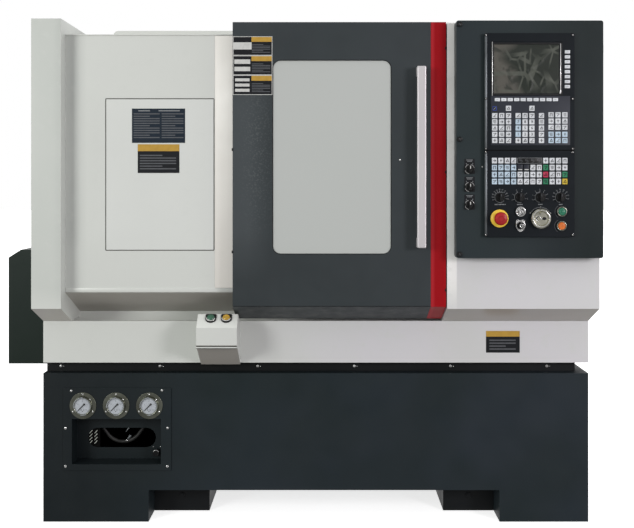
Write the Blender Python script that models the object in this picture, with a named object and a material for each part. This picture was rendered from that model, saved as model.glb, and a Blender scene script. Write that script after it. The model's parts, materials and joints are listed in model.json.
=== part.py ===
"""Compact slant-bed CNC turning lathe, closed sheet-metal enclosure on a dark stand.

Frame: metres, +Z up, +X to the operator's right, the operator stands on the -Y side.
The empty named machine puts the centre of the whole footprint at the world origin, floor at Z = 0.
Inside that empty X = 0 is the middle of the stand and Y = 0 is its front face.
"""

import math

import bmesh
import bpy
from mathutils import Matrix, Vector

# Clearances and cutting allowances
SEAT_GAP = 0.0003
CUT_OVERRUN = 0.010
FUSE_OVERLAP = 0.0002
WELD_DISTANCE = 0.00001

# Body
BODY_WIDTH = 1.744
SHEET = 0.005
ENCLOSURE_BACK = 0.600

# Stand
STAND_DEPTH = 0.900
STAND_HEIGHT = 0.475
STAND_WALL = 0.012
LEG_HEIGHT = 0.101
LEFT_LEG_WIDTH = 0.337
RIGHT_LEG_WIDTH = 0.284
FOOT_SETBACK = 0.105
LEFT_FOOT_WIDTH = 0.182
RIGHT_FOOT_WIDTH = 0.167
FOOT_WALL = 0.012
FOOT_BOLT_RADIUS = 0.009

# Plinth between stand and covers
PLINTH_HEIGHT = 0.0335
PLINTH_SETBACK = 0.035
PLINTH_LEFT_INSET = 0.002
PLINTH_RIGHT_INSET = 0.034

# Apron, the white band under the door
APRON_HEIGHT = 0.1334
APRON_LIP = 0.012
TROUGH_DEPTH = 0.0425
TROUGH_BACK = 0.100

# Upper covers
OVERHANG = 0.124
OVERHANG_UNDERSIDE_RISE = 0.0545
POST_WIDTH = 0.0915
POST_TOP = 1.588
RIGHT_COVER_WIDTH = 0.468
RIGHT_COVER_TOP = 1.575
RECESS_DEPTH = 0.048
RECESS_BOTTOM = 0.742
RECESS_TOP = 1.547
RECESS_UNDERSIDE_DROP = 0.081
LEFT_COVER_RIGHT_EDGE = -0.155
DOORWAY_JAMB = 0.020
DOORWAY_BOTTOM = 0.790
DOORWAY_TOP = 1.470

# Access cover on the recessed panel
ACCESS_WIDTH = 0.335
ACCESS_HEIGHT = 0.470
ACCESS_CENTRE_X = -0.4855
ACCESS_CENTRE_Z = 1.110
ACCESS_OUTLINE_GAP = 0.0015
ACCESS_LAND = 0.012
ACCESS_THICKNESS = 0.0022

# Sliding door
DOOR_LEFT = -0.254
DOOR_RIGHT = 0.401
DOOR_TOP = 1.577
DOOR_SHEET = 0.004
DOOR_FLANGE_END = 0.005
DOOR_FLANGE_LIFT = 0.0085
DOOR_FOLD_DEPTH = 0.036
EDGE_STRIP_WIDTH = 0.047
WINDOW_LEFT = -0.132
WINDOW_WIDTH = 0.3655
WINDOW_BOTTOM = 0.8645
WINDOW_HEIGHT = 0.5965
WINDOW_CORNER = 0.025
WINDOW_LAP = 0.015
WINDOW_THICKNESS = 0.005
HANDLE_LEFT = 0.309
HANDLE_WIDTH = 0.027
HANDLE_THICKNESS = 0.012
HANDLE_STANDOFF = 0.028
HANDLE_BOTTOM = 0.886
HANDLE_HEIGHT = 0.552
HANDLE_FOOT_HEIGHT = 0.030
HANDLE_EDGE_ROUND = 0.003
RAIL_SETBACK = 0.090
RAIL_WIDTH = 0.030
RAIL_END_CLEARANCE = 0.010
HOOK_DROP = 0.020

# Control door with its hinges and locks
CONTROL_LEFT = 0.426
CONTROL_RIGHT = 0.870
CONTROL_BOTTOM = 0.856
CONTROL_TOP = 1.574
CONTROL_DEPTH = 0.0447
CONTROL_SHEET = 0.003
CONTROL_EDGE_ROUND = 0.006
CONTROL_POCKET_DEPTH = 0.140
CONTROL_POCKET_INSET = 0.018
LOCK_INSET = 0.010
LOCK_RADIUS = 0.007
LOCK_PROUD = 0.004
LOCK_END_INSET = 0.012
HINGE_RADIUS = 0.005
HINGE_PIN_RADIUS = 0.0022
HINGE_PIN_CLEARANCE = 0.0003
HINGE_AXIS_OUT = 0.0033
HINGE_AXIS_FORWARD = 0.011
HINGE_BARREL = 0.022
HINGE_LEAF = 0.0034
HINGE_LEAF_REACH = 0.022
HINGE_HEIGHTS = (0.922, 1.460)

# Screen unit and key unit on the control door
UNIT_LEFT = 0.512
UNIT_WIDTH = 0.268
UNIT_PROUD = 0.0117
UNIT_FLANGE = 0.014
UNIT_REAR_DEPTH = 0.036
UNIT_EDGE_ROUND = 0.003
KEY_UNIT_BOTTOM = 0.921
KEY_UNIT_HEIGHT = 0.2602
SCREEN_UNIT_HEIGHT = 0.3525
SCREEN_LEFT = 0.0247
SCREEN_WIDTH = 0.198
SCREEN_BOTTOM = 0.171
SCREEN_HEIGHT = 0.148
SCREEN_RECESS = 0.004
BEZEL_MARGIN = 0.008
BEZEL_DEPTH = 0.0015
SCREEN_THICKNESS = 0.0025
KEY_PROUD = 0.002
KEY_ROOT = 0.001
KEY_TAPER = 0.0008

# Keys of the screen unit, measured from the unit's lower left corner
SOFT_KEY_WIDTH = 0.015
SOFT_KEY_HEIGHT = 0.009
BOTTOM_SOFT_KEYS = 10
BOTTOM_SOFT_LEFT = 0.0355
BOTTOM_SOFT_PITCH = 0.0194
BOTTOM_SOFT_Z = 0.1521
SIDE_SOFT_KEYS = 8
SIDE_SOFT_X = 0.246
SIDE_SOFT_BOTTOM = 0.1913
SIDE_SOFT_PITCH = 0.0149
KEY_SIZE = 0.015
KEY_ROWS = 5
EXTRA_KEY_RAISE = 0.0033
EDIT_KEYS_RAISE = 0.0024
KEY_ROW_PITCH = 0.0187
KEY_ROW_BOTTOM = 0.0292
LETTER_KEYS_LEFT = 0.0277
NUMBER_KEYS_LEFT = 0.0980
EDIT_KEYS_LEFT = 0.1970
CYCLE_KEYS_X = 0.1681
KEY_COLUMN_PITCH = 0.0207

# Keys of the key unit, measured from the unit's lower left corner
MACHINE_KEY_COLUMNS = 12
MACHINE_KEY_ROWS = 4
MACHINE_KEY_WIDTH = 0.0145
MACHINE_KEY_HEIGHT = 0.0165
MACHINE_KEY_LEFT = 0.0268
MACHINE_KEY_PITCH = 0.01925
MACHINE_KEY_BOTTOM = 0.1665
MACHINE_ROW_PITCH = 0.0209
LAMP_WINDOW_COLUMNS = (4, 5, 6, 7)

# Controls of the key unit, places measured from the unit's lower left corner
CONTROL_SPIGOT_CLEARANCE = 0.0004
CONTROL_HOLE_DEPTH = 0.022
SELECTOR_Z = 0.119
SELECTOR_XS = (0.044, 0.103, 0.165, 0.226)
SELECTOR_RADIUS = 0.0135
SELECTOR_BASE_HEIGHT = 0.006
SELECTOR_GRIP_HEIGHT = 0.014
SELECTOR_GRIP_WIDTH = 0.007
SELECTOR_SPIGOT_RADIUS = 0.004
SELECTOR_SPIGOT_LENGTH = 0.012
ESTOP_X = 0.042
ESTOP_Z = 0.0555
ESTOP_COLLAR_RADIUS = 0.027
ESTOP_COLLAR_HEIGHT = 0.006
ESTOP_HEAD_RADIUS = 0.020
ESTOP_HEAD_HEIGHT = 0.014
ESTOP_STANDOFF = 0.020
ESTOP_STEM_RADIUS = 0.010
ESTOP_STEM_LENGTH = 0.010
PUSH_BUTTON_RING_RADIUS = 0.0148
PUSH_BUTTON_RING_HEIGHT = 0.006
PUSH_BUTTON_RADIUS = 0.0112
PUSH_BUTTON_PROUD = 0.0035
PUSH_BUTTON_STEM = 0.006
SILVER_BUTTON_X = 0.105
SILVER_BUTTON_Z = 0.076
START_BUTTON_X = 0.229
START_BUTTON_Z = 0.076
HOLD_BUTTON_X = 0.228
HOLD_BUTTON_Z = 0.033
KEY_SWITCH_X = 0.105
KEY_SWITCH_Z = 0.034
KEY_SWITCH_RADIUS = 0.010
KEY_SWITCH_HEIGHT = 0.005
KEY_BOW_WIDTH = 0.018
KEY_BOW_HEIGHT = 0.012
KEY_BLADE_THICKNESS = 0.003
HANDWHEEL_X = 0.165
HANDWHEEL_Z = 0.0555
HANDWHEEL_RADIUS = 0.029
HANDWHEEL_HEIGHT = 0.016
HANDWHEEL_DISH = 0.004
HANDWHEEL_DISH_RADIUS = 0.022
HANDWHEEL_GRIP_RADIUS = 0.004
HANDWHEEL_GRIP_HEIGHT = 0.012
HANDWHEEL_GRIP_ORBIT = 0.016

# Rotary switches at the left of the control door
MODE_SWITCH_X = 0.466
MODE_SWITCH_TOP = 1.125
MODE_SWITCH_PITCH = 0.0538
MODE_SWITCHES = 3
MODE_SWITCH_RADIUS = 0.0125

# Push button box on the apron
BOX_LEFT = -0.3667
BOX_WIDTH = 0.1254
BOX_DEPTH = 0.120
BOX_TOP_DEPTH = 0.075
BOX_TOP = 0.6745
BOX_SHOULDER = 0.638
BOX_FRONT_BOTTOM = 0.5838
BOX_BACK_TOP = 0.6405
BOX_BACK_BOTTOM = 0.5035
BOX_FLANGE_HEIGHT = 0.004
BOX_FLANGE_PROUD = 0.0015
BOX_BUTTON_SPREAD = 0.024
BOX_BUTTON_RAISE = 0.0087
BOX_BUTTON_SHIFT = 0.0034

# Gauge panel in the stand
PANEL_LEFT = -0.807
PANEL_WIDTH = 0.344
PANEL_BOTTOM = 0.165
PANEL_HEIGHT = 0.263
PANEL_THICKNESS = 0.003
PANEL_LAND = 0.014
POCKET_LEFT = -0.780
POCKET_WIDTH = 0.285
POCKET_BOTTOM = 0.184
POCKET_HEIGHT = 0.145
POCKET_DEPTH = 0.065
POCKET_SHEET = 0.002
SLOT_LEFT = -0.745
SLOT_WIDTH = 0.222
SLOT_BOTTOM = 0.220
SLOT_HEIGHT = 0.064
GAUGE_FIRST_X = -0.744
GAUGE_PITCH = 0.106
GAUGE_Z = 0.372
GAUGE_FLANGE_RADIUS = 0.0425
GAUGE_FLANGE_THICKNESS = 0.0025
GAUGE_BEZEL_RADIUS = 0.0295
GAUGE_BEZEL_HEIGHT = 0.009
GAUGE_DIAL_RADIUS = 0.0255
GAUGE_DIAL_RECESS = 0.004
GAUGE_CAN_RADIUS = 0.030
GAUGE_CAN_DEPTH = 0.028
GAUGE_PORT_RADIUS = 0.007
GAUGE_PORT_LENGTH = 0.012
GAUGE_HOLE_CLEARANCE = 0.0005
NEEDLE_LENGTH = 0.020
NEEDLE_WIDTH = 0.002
NEEDLE_THICKNESS = 0.0012
NEEDLE_ANGLE = math.radians(225)
HOSE_RADIUS = 0.006
HOSE_SAG_Z = 0.228
HOSE_REACH = 0.105
HOSE_STRAIGHT = 0.018
REGULATOR_X = -0.520
REGULATOR_Z = 0.206
REGULATOR_RADIUS = 0.011
REGULATOR_HEIGHT = 0.018

# Rear electrical cabinet
CABINET_LEFT = -0.784
CABINET_WIDTH = 1.380
CABINET_DEPTH = 0.262
CABINET_TOP = 1.6706
CABINET_SHEET = 0.004
CABINET_CORNER = 0.020
CABINET_DOOR_WIDTH = 0.720
CABINET_DOOR_RIGHT_INSET = 0.030
CABINET_DOOR_BOTTOM = 0.600
CABINET_DOOR_HEIGHT = 1.000
CABINET_DOOR_DEPTH = 0.022
CABINET_DOOR_LAP = 0.020
CABINET_HANDLE_WIDTH = 0.026
CABINET_HANDLE_HEIGHT = 0.120
CABINET_HANDLE_PROUD = 0.012
DRIVE_BLOCK_DEPTH = 0.110
DRIVE_BLOCK_HEIGHT = 0.190
DRIVE_BLOCK_WIDTH = 0.085
DRIVE_BLOCK_PITCH = 0.120
DRIVE_BLOCKS = 5
DRIVE_ROW_HEIGHTS = (0.80, 1.15)

# Drive guard on the left side
GUARD_WIDTH = 0.2287
GUARD_FRONT = 0.350
GUARD_DEPTH = 0.400
GUARD_BOTTOM = 0.440
GUARD_TOP = 0.847
GUARD_CHAMFER_X = 0.044
GUARD_CHAMFER_Z = 0.028

# Slant bed and spindle line
SPINDLE_Y = 0.260
SPINDLE_Z = 1.020
SLANT = math.radians(45)
AXIS_HEIGHT = 0.170
BED_LEFT = -0.700
BED_RIGHT = 0.840
BED_FRONT = 0.150
BED_BACK = 0.560
BED_NOSE_Z = 0.670
WAY_RAISE = 0.014
WAY_LOW = (-0.270, -0.215)
WAY_HIGH = (0.060, 0.115)
BED_TOP_T = 0.130
CORE_WALL = 0.040

# Headstock and spindle
HEADSTOCK_LEFT = -0.560
HEADSTOCK_LENGTH = 0.290
HEADSTOCK_HALF = 0.140
HEADSTOCK_CORNER = 0.060
SPINDLE_RADIUS = 0.050
SPINDLE_CLEARANCE = 0.0004
SPINDLE_NOSE_RADIUS = 0.070
SPINDLE_NOSE_LENGTH = 0.024
SPINDLE_BORE = 0.026
PULLEY_LEFT = -0.790
PULLEY_WIDTH = 0.050
SPINDLE_PULLEY_RADIUS = 0.078
CYLINDER_LENGTH = 0.055
CYLINDER_RADIUS = 0.065
CHUCK_RADIUS = 0.100
CHUCK_LENGTH = 0.078
CHUCK_CHAMFER = 0.006
JAWS = 3
JAW_INNER = 0.032
JAW_LENGTH = 0.055
JAW_WIDTH = 0.024
JAW_HEIGHT = 0.034
JAW_STEP = 0.016
JAW_KEY_WIDTH = 0.010
JAW_KEY_DEPTH = 0.006
JAW_TRAVEL = 0.006

# Spindle motor and belt
MOTOR_Y = 0.480
MOTOR_Z = 0.640
MOTOR_RADIUS = 0.085
MOTOR_LENGTH = 0.170
MOTOR_FLANGE_HALF = 0.095
MOTOR_FLANGE_THICKNESS = 0.014
MOTOR_SHAFT_RADIUS = 0.016
MOTOR_SHAFT_INSET = 0.030
MOTOR_WALL_HOLE = 0.040
MOTOR_PULLEY_RADIUS = 0.045
BELT_THICKNESS = 0.005
BELT_MARGIN = 0.005
PULLEY_LIP = 0.006

# Carriage, turret and tailstock
SADDLE_LEFT = 0.190
SADDLE_LENGTH = 0.240
SADDLE_THICKNESS = 0.050
SADDLE_TOP_T = 0.200
SLIDE_INSET = 0.020
SLIDE_THICKNESS = 0.050
SLIDE_LOW_T = 0.080
SLIDE_TOP_T = 0.340
TURRET_T = 0.260
TURRET_HEAD_HALF = 0.075
TURRET_HEAD_LENGTH = 0.160
TURRET_DISC_RADIUS = 0.085
TURRET_DISC_THICKNESS = 0.052
TURRET_STATIONS = 8
TOOL_WIDTH = 0.022
TOOL_HEIGHT = 0.022
TOOL_REACH = 0.116
TAILSTOCK_LEFT = 0.580
TAILSTOCK_LENGTH = 0.200
TAILSTOCK_HALF = 0.070
QUILL_RADIUS = 0.030
QUILL_PROUD = 0.080
QUILL_SOCKET = 0.150
CENTRE_RADIUS = 0.016
CENTRE_LENGTH = 0.040
GUTTER_SHEET = 0.003
GUTTER_TOP = 0.640
GUTTER_BOTTOM = 0.545
GUTTER_LEFT = -0.265
GUTTER_RIGHT = 0.835

# Facets of round work
FINE = 28
ROUND = 20
SMALL = 14
TINY = 8
CORNER_STEPS = 4

# Sizes that follow from the ones above
HALF = BODY_WIDTH / 2
PLINTH_BOTTOM = STAND_HEIGHT + SEAT_GAP
COVER_BOTTOM = PLINTH_BOTTOM + PLINTH_HEIGHT + SEAT_GAP
APRON_TOP = COVER_BOTTOM + APRON_HEIGHT
UNDERSIDE_FRONT = APRON_TOP + OVERHANG_UNDERSIDE_RISE
RECESS_FRONT = -OVERHANG + RECESS_DEPTH
RECESS_UNDERSIDE_BACK = RECESS_BOTTOM - RECESS_UNDERSIDE_DROP
RIGHT_COVER_LEFT = HALF - RIGHT_COVER_WIDTH
DOOR_SPLIT = DOOR_RIGHT - EDGE_STRIP_WIDTH
CONTROL_FRONT = -OVERHANG - SEAT_GAP - CONTROL_DEPTH
UNIT_FRONT = CONTROL_FRONT - SEAT_GAP - UNIT_PROUD
HINGE_X = HALF + HINGE_AXIS_OUT
HINGE_Y = -OVERHANG - HINGE_AXIS_FORWARD
SCREEN_UNIT_BOTTOM = KEY_UNIT_BOTTOM + KEY_UNIT_HEIGHT + SEAT_GAP
CABINET_FRONT = ENCLOSURE_BACK + SEAT_GAP
CABINET_BACK = CABINET_FRONT + CABINET_DEPTH
HEADSTOCK_RIGHT = HEADSTOCK_LEFT + HEADSTOCK_LENGTH
CHUCK_LEFT = HEADSTOCK_RIGHT + SPINDLE_NOSE_LENGTH + SEAT_GAP
CHUCK_RIGHT = CHUCK_LEFT + CHUCK_LENGTH
PULLEY_RIGHT = PULLEY_LEFT + PULLEY_WIDTH
GUARD_LEFT = -HALF - SEAT_GAP - GUARD_WIDTH
FRONT_REACH = -UNIT_FRONT + ESTOP_STANDOFF + ESTOP_HEAD_HEIGHT
BACK_REACH = max(STAND_DEPTH, CABINET_BACK + CABINET_DOOR_DEPTH + CABINET_HANDLE_PROUD)
RIGHT_REACH = HINGE_X + HINGE_RADIUS
ORIGIN_SHIFT_X = -(GUARD_LEFT + RIGHT_REACH) / 2
ORIGIN_SHIFT_Y = (FRONT_REACH - BACK_REACH) / 2


def clear_scene():
    for item in list(bpy.data.objects):
        bpy.data.objects.remove(item)


def paint(name, color, roughness, metallic=0.0):
    """A plain Principled material, made once for each name."""
    existing = bpy.data.materials.get(name)
    if existing:
        return existing
    material = bpy.data.materials.new(name)
    material.use_nodes = True
    shader = material.node_tree.nodes["Principled BSDF"]
    shader.inputs["Base Color"].default_value = (*color, 1.0)
    shader.inputs["Roughness"].default_value = roughness
    shader.inputs["Metallic"].default_value = metallic
    return material


def white_paint():
    return paint("white_paint", (0.60, 0.61, 0.58), 0.35)


def dark_paint():
    return paint("dark_paint", (0.020, 0.027, 0.030), 0.45)


def door_paint():
    return paint("door_paint", (0.042, 0.048, 0.052), 0.50)


def black_paint():
    return paint("black_paint", (0.008, 0.009, 0.010), 0.50)


def red_paint():
    return paint("red_paint", (0.26, 0.006, 0.010), 0.35)


def guard_paint():
    return paint("guard_paint", (0.014, 0.024, 0.021), 0.45)


def cast_iron():
    return paint("cast_iron", (0.16, 0.18, 0.18), 0.55, 0.4)


def machined_steel():
    return paint("machined_steel", (0.55, 0.56, 0.57), 0.30, 1.0)


def aluminium():
    return paint("aluminium", (0.66, 0.63, 0.64), 0.35, 1.0)


def black_plastic():
    return paint("black_plastic", (0.012, 0.012, 0.013), 0.40)


def coloured_plastic(name, color):
    return paint(name, color, 0.30)


def box(x, y, z):
    """A closed box over three (low, high) ranges."""
    mesh = bmesh.new()
    bmesh.ops.create_cube(mesh, size=1.0)
    size = Vector((x[1] - x[0], y[1] - y[0], z[1] - z[0]))
    middle = Vector((x[0] + x[1], y[0] + y[1], z[0] + z[1])) / 2
    bmesh.ops.scale(mesh, vec=size, verts=mesh.verts)
    bmesh.ops.translate(mesh, vec=middle, verts=mesh.verts)
    return mesh


def prism(outline, axis, low, high):
    """An outline of (first, second) points extruded along X, Y or Z from low to high."""
    place = {
        "X": lambda a, b: Vector((low, a, b)),
        "Y": lambda a, b: Vector((a, low, b)),
        "Z": lambda a, b: Vector((a, b, low)),
    }[axis]
    way = {"X": Vector((1, 0, 0)), "Y": Vector((0, 1, 0)), "Z": Vector((0, 0, 1))}[axis]
    mesh = bmesh.new()
    face = mesh.faces.new([mesh.verts.new(place(a, b)) for a, b in outline])
    grown = bmesh.ops.extrude_face_region(mesh, geom=[face])
    moved = [item for item in grown["geom"] if isinstance(item, bmesh.types.BMVert)]
    bmesh.ops.translate(mesh, vec=way * (high - low), verts=moved)
    bmesh.ops.recalc_face_normals(mesh, faces=mesh.faces)
    return mesh


def turned(profile, steps, centre, direction):
    """A closed turned body of (radius, height) points, its height growing from centre along direction."""
    mesh = bmesh.new()
    points = [mesh.verts.new((radius, 0, height)) for radius, height in profile]
    edges = [mesh.edges.new(pair) for pair in zip(points, points[1:])]
    if profile[0][0] > 0 or profile[-1][0] > 0:
        edges.append(mesh.edges.new((points[-1], points[0])))
    bmesh.ops.spin(
        mesh, geom=points + edges, cent=(0, 0, 0), axis=(0, 0, 1),
        angle=math.tau, steps=steps, use_merge=True,
    )
    bmesh.ops.remove_doubles(mesh, verts=mesh.verts, dist=WELD_DISTANCE)
    bmesh.ops.recalc_face_normals(mesh, faces=mesh.faces)
    turn = Vector((0, 0, 1)).rotation_difference(Vector(direction)).to_matrix().to_4x4()
    bmesh.ops.transform(mesh, matrix=Matrix.Translation(centre) @ turn, verts=mesh.verts)
    return mesh


def disc(radius, steps, centre, direction, low, high):
    """A plain cylinder between two heights along direction."""
    return turned([(0, low), (radius, low), (radius, high), (0, high)], steps, centre, direction)


def hole_radius(shaft_radius, clearance, steps):
    """Radius of a faceted hole whose flats stay the clearance away from the shaft."""
    return (shaft_radius + clearance) / math.cos(math.pi / steps)


def joined(meshes):
    """Several closed meshes in one, for use as one cutter or one set of additions."""
    target = bmesh.new()
    for mesh in meshes:
        scratch = bpy.data.meshes.new("scratch")
        mesh.to_mesh(scratch)
        mesh.free()
        target.from_mesh(scratch)
        bpy.data.meshes.remove(scratch)
    return target


def inset(outline, wall):
    """The outline moved inwards by the wall, corner by corner. The outline runs either way round."""
    turns = sum(
        (b[0] - a[0]) * (b[1] + a[1]) for a, b in zip(outline, outline[1:] + outline[:1])
    )
    side = wall if turns > 0 else -wall
    moved = []
    for before, here, after in zip(outline[-1:] + outline[:-1], outline, outline[1:] + outline[:1]):
        first = Vector((here[0] - before[0], here[1] - before[1])).normalized()
        second = Vector((after[0] - here[0], after[1] - here[1])).normalized()
        normal_a = Vector((first[1], -first[0])) * side
        normal_b = Vector((second[1], -second[0])) * side
        middle = (normal_a + normal_b) / (1 + first.dot(second))
        moved.append((here[0] + middle[0], here[1] + middle[1]))
    return moved


def arc(centre, radius, start, end, steps):
    """Points along an arc, ends included."""
    return [
        (
            centre[0] + radius * math.cos(start + (end - start) * step / steps),
            centre[1] + radius * math.sin(start + (end - start) * step / steps),
        )
        for step in range(steps + 1)
    ]


def rounded_rectangle(x, z, radius, steps=CORNER_STEPS):
    """A rectangle over two (low, high) ranges with round corners."""
    quarter = math.pi / 2
    corners = [(x[1], z[1]), (x[0], z[1]), (x[0], z[0]), (x[1], z[0])]
    ways = [(-1, -1), (1, -1), (1, 1), (-1, 1)]
    points = []
    for number, (corner, way) in enumerate(zip(corners, ways)):
        centre = (corner[0] + way[0] * radius, corner[1] + way[1] * radius)
        points += arc(centre, radius, number * quarter, (number + 1) * quarter, steps)
    return points


def add_object(name, mesh, material, machine, smooth=False):
    """Turns a bmesh into a named object under the machine's empty."""
    data = bpy.data.meshes.new(name)
    mesh.to_mesh(data)
    mesh.free()
    data.materials.append(material)
    item = bpy.data.objects.new(name, data)
    bpy.context.scene.collection.objects.link(item)
    item.parent = machine
    if smooth:
        smooth_rounds(item)
    return item


def smooth_rounds(item):
    item.data.shade_smooth()
    item.data.set_sharp_from_angle(angle=math.radians(40))


def combine(item, mesh, operation):
    """Cuts a mesh from the object or fuses it on, with an exact Boolean whose result is kept."""
    data = bpy.data.meshes.new("tool")
    mesh.to_mesh(data)
    mesh.free()
    tool = bpy.data.objects.new("tool", data)
    tool.hide_render = True
    tool.display_type = "WIRE"
    tool.parent = item.parent
    bpy.context.scene.collection.objects.link(tool)
    modifier = item.modifiers.new("combine", "BOOLEAN")
    modifier.operation = operation
    modifier.solver = "EXACT"
    modifier.object = tool
    result = bpy.data.meshes.new_from_object(item.evaluated_get(bpy.context.evaluated_depsgraph_get()))
    item.modifiers.clear()
    item.data = result
    bpy.data.objects.remove(tool)


def cut(item, *meshes):
    combine(item, joined(meshes), "DIFFERENCE")


def fuse(item, *meshes):
    for mesh in meshes:
        combine(item, mesh, "UNION")


def bevel_edges(item, width, steps=2):
    """A rounded edge modifier on the object's sharp corners."""
    modifier = item.modifiers.new("edge_round", "BEVEL")
    modifier.width = width
    modifier.segments = steps
    modifier.limit_method = "ANGLE"
    modifier.angle_limit = math.radians(60)


def move_origin(item, point):
    """Puts the object's origin on its joint axis and keeps the shape where it is."""
    item.data.transform(Matrix.Translation(-Vector(point)))
    item.location = Vector(point)


def build_stand(machine):
    left_inner = -HALF + LEFT_LEG_WIDTH
    right_inner = HALF - RIGHT_LEG_WIDTH
    outline = [
        (-HALF, 0), (left_inner, 0), (left_inner, LEG_HEIGHT), (right_inner, LEG_HEIGHT),
        (right_inner, 0), (HALF, 0), (HALF, STAND_HEIGHT), (-HALF, STAND_HEIGHT),
    ]
    stand = add_object("base_stand", prism(outline, "Y", 0, STAND_DEPTH), dark_paint(), machine)
    cut(
        stand,
        box(
            (-HALF + STAND_WALL, HALF - STAND_WALL),
            (STAND_WALL, STAND_DEPTH - STAND_WALL),
            (LEG_HEIGHT + STAND_WALL, STAND_HEIGHT + CUT_OVERRUN),
        ),
    )
    cut(
        stand,
        box(
            (PANEL_LEFT + PANEL_LAND, PANEL_LEFT + PANEL_WIDTH - PANEL_LAND),
            (-CUT_OVERRUN, STAND_WALL + CUT_OVERRUN),
            (PANEL_BOTTOM + PANEL_LAND, PANEL_BOTTOM + PANEL_HEIGHT - PANEL_LAND),
        ),
    )


def build_foot(name, left, width, machine):
    """A box-section foot beside a leg, closed at the front, with the head of its levelling bolt."""
    y = (FOOT_SETBACK, STAND_DEPTH - FOOT_SETBACK)
    foot = add_object(name, box((left, left + width), y, (0, LEG_HEIGHT - SEAT_GAP)), black_paint(), machine)
    cut(
        foot,
        box(
            (left + FOOT_WALL, left + width - FOOT_WALL),
            (y[0] + FOOT_WALL, y[1] + CUT_OVERRUN),
            (FOOT_WALL, LEG_HEIGHT - SEAT_GAP - FOOT_WALL),
        ),
    )
    bolt_at = (left + width / 2, y[0], LEG_HEIGHT / 2)
    fuse(foot, disc(FOOT_BOLT_RADIUS, TINY, bolt_at, (0, -1, 0), -FUSE_OVERLAP, FOOT_BOLT_RADIUS / 2))


def build_feet(machine):
    build_foot("inner_foot_left", -HALF + LEFT_LEG_WIDTH + SEAT_GAP, LEFT_FOOT_WIDTH, machine)
    right = HALF - RIGHT_LEG_WIDTH - SEAT_GAP
    build_foot("inner_foot_right", right - RIGHT_FOOT_WIDTH, RIGHT_FOOT_WIDTH, machine)


def build_plinth(machine):
    shape = box(
        (-HALF + PLINTH_LEFT_INSET, HALF - PLINTH_RIGHT_INSET),
        (PLINTH_SETBACK, STAND_DEPTH - PLINTH_SETBACK),
        (PLINTH_BOTTOM, PLINTH_BOTTOM + PLINTH_HEIGHT),
    )
    add_object("plinth", shape, black_paint(), machine)


def build_apron(machine):
    trough_floor = APRON_TOP - TROUGH_DEPTH
    back = TROUGH_BACK - SEAT_GAP
    outline = [
        (0, COVER_BOTTOM), (0, APRON_TOP), (APRON_LIP, APRON_TOP),
        (APRON_LIP, trough_floor), (back, trough_floor), (back, COVER_BOTTOM),
    ]
    add_object("apron", prism(outline, "X", -HALF, HALF), white_paint(), machine)


def overhang_outline(top):
    """Side view of the covers that stand forward: the post and the right cover."""
    ledge = APRON_TOP + SEAT_GAP
    return [
        (-OVERHANG, UNDERSIDE_FRONT), (-OVERHANG, top), (ENCLOSURE_BACK, top),
        (ENCLOSURE_BACK, COVER_BOTTOM), (TROUGH_BACK, COVER_BOTTOM), (TROUGH_BACK, ledge), (0, ledge),
    ]


def recess_outline():
    """Side view of the recessed middle part of the covers."""
    return [
        (RECESS_FRONT, RECESS_BOTTOM), (RECESS_FRONT, RECESS_TOP), (ENCLOSURE_BACK, RECESS_TOP),
        (ENCLOSURE_BACK, COVER_BOTTOM), (TROUGH_BACK, COVER_BOTTOM), (TROUGH_BACK, RECESS_UNDERSIDE_BACK),
    ]


def cover_bottom_opening(low, high):
    """The open underside of a cover, where the bed stands on the plinth."""
    return box(
        (low, high),
        (TROUGH_BACK + SHEET, ENCLOSURE_BACK - SHEET),
        (COVER_BOTTOM - CUT_OVERRUN, COVER_BOTTOM + SHEET + CUT_OVERRUN),
    )


def build_left_cover(machine):
    post_right = -HALF + POST_WIDTH
    cover = add_object(
        "left_cover", prism(overhang_outline(POST_TOP), "X", -HALF, post_right), white_paint(), machine
    )
    fuse(cover, prism(recess_outline(), "X", post_right - SHEET, LEFT_COVER_RIGHT_EDGE))
    cut(cover, prism(inset(overhang_outline(POST_TOP), SHEET), "X", -HALF + SHEET, post_right - SHEET))
    inside = LEFT_COVER_RIGHT_EDGE + CUT_OVERRUN
    cut(cover, prism(inset(recess_outline(), SHEET), "X", -HALF + SHEET, inside))
    cut(cover, cover_bottom_opening(-HALF + SHEET, inside))
    x = (ACCESS_CENTRE_X - ACCESS_WIDTH / 2, ACCESS_CENTRE_X + ACCESS_WIDTH / 2)
    z = (ACCESS_CENTRE_Z - ACCESS_HEIGHT / 2, ACCESS_CENTRE_Z + ACCESS_HEIGHT / 2)
    rebate = RECESS_FRONT + ACCESS_THICKNESS + SEAT_GAP
    cut(
        cover,
        box(
            (x[0] - ACCESS_OUTLINE_GAP, x[1] + ACCESS_OUTLINE_GAP),
            (RECESS_FRONT - CUT_OVERRUN, rebate),
            (z[0] - ACCESS_OUTLINE_GAP, z[1] + ACCESS_OUTLINE_GAP),
        ),
    )
    cut(
        cover,
        box(
            (x[0] + ACCESS_LAND, x[1] - ACCESS_LAND),
            (RECESS_FRONT - CUT_OVERRUN, RECESS_FRONT + SHEET + CUT_OVERRUN),
            (z[0] + ACCESS_LAND, z[1] - ACCESS_LAND),
        ),
    )
    motor_hole = (-HALF, MOTOR_Y, MOTOR_Z)
    cut(cover, disc(MOTOR_WALL_HOLE, ROUND, motor_hole, (1, 0, 0), -CUT_OVERRUN, SHEET + CUT_OVERRUN))
    plate = box(x, (RECESS_FRONT, RECESS_FRONT + ACCESS_THICKNESS), z)
    add_object("access_cover", plate, white_paint(), machine)


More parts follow.
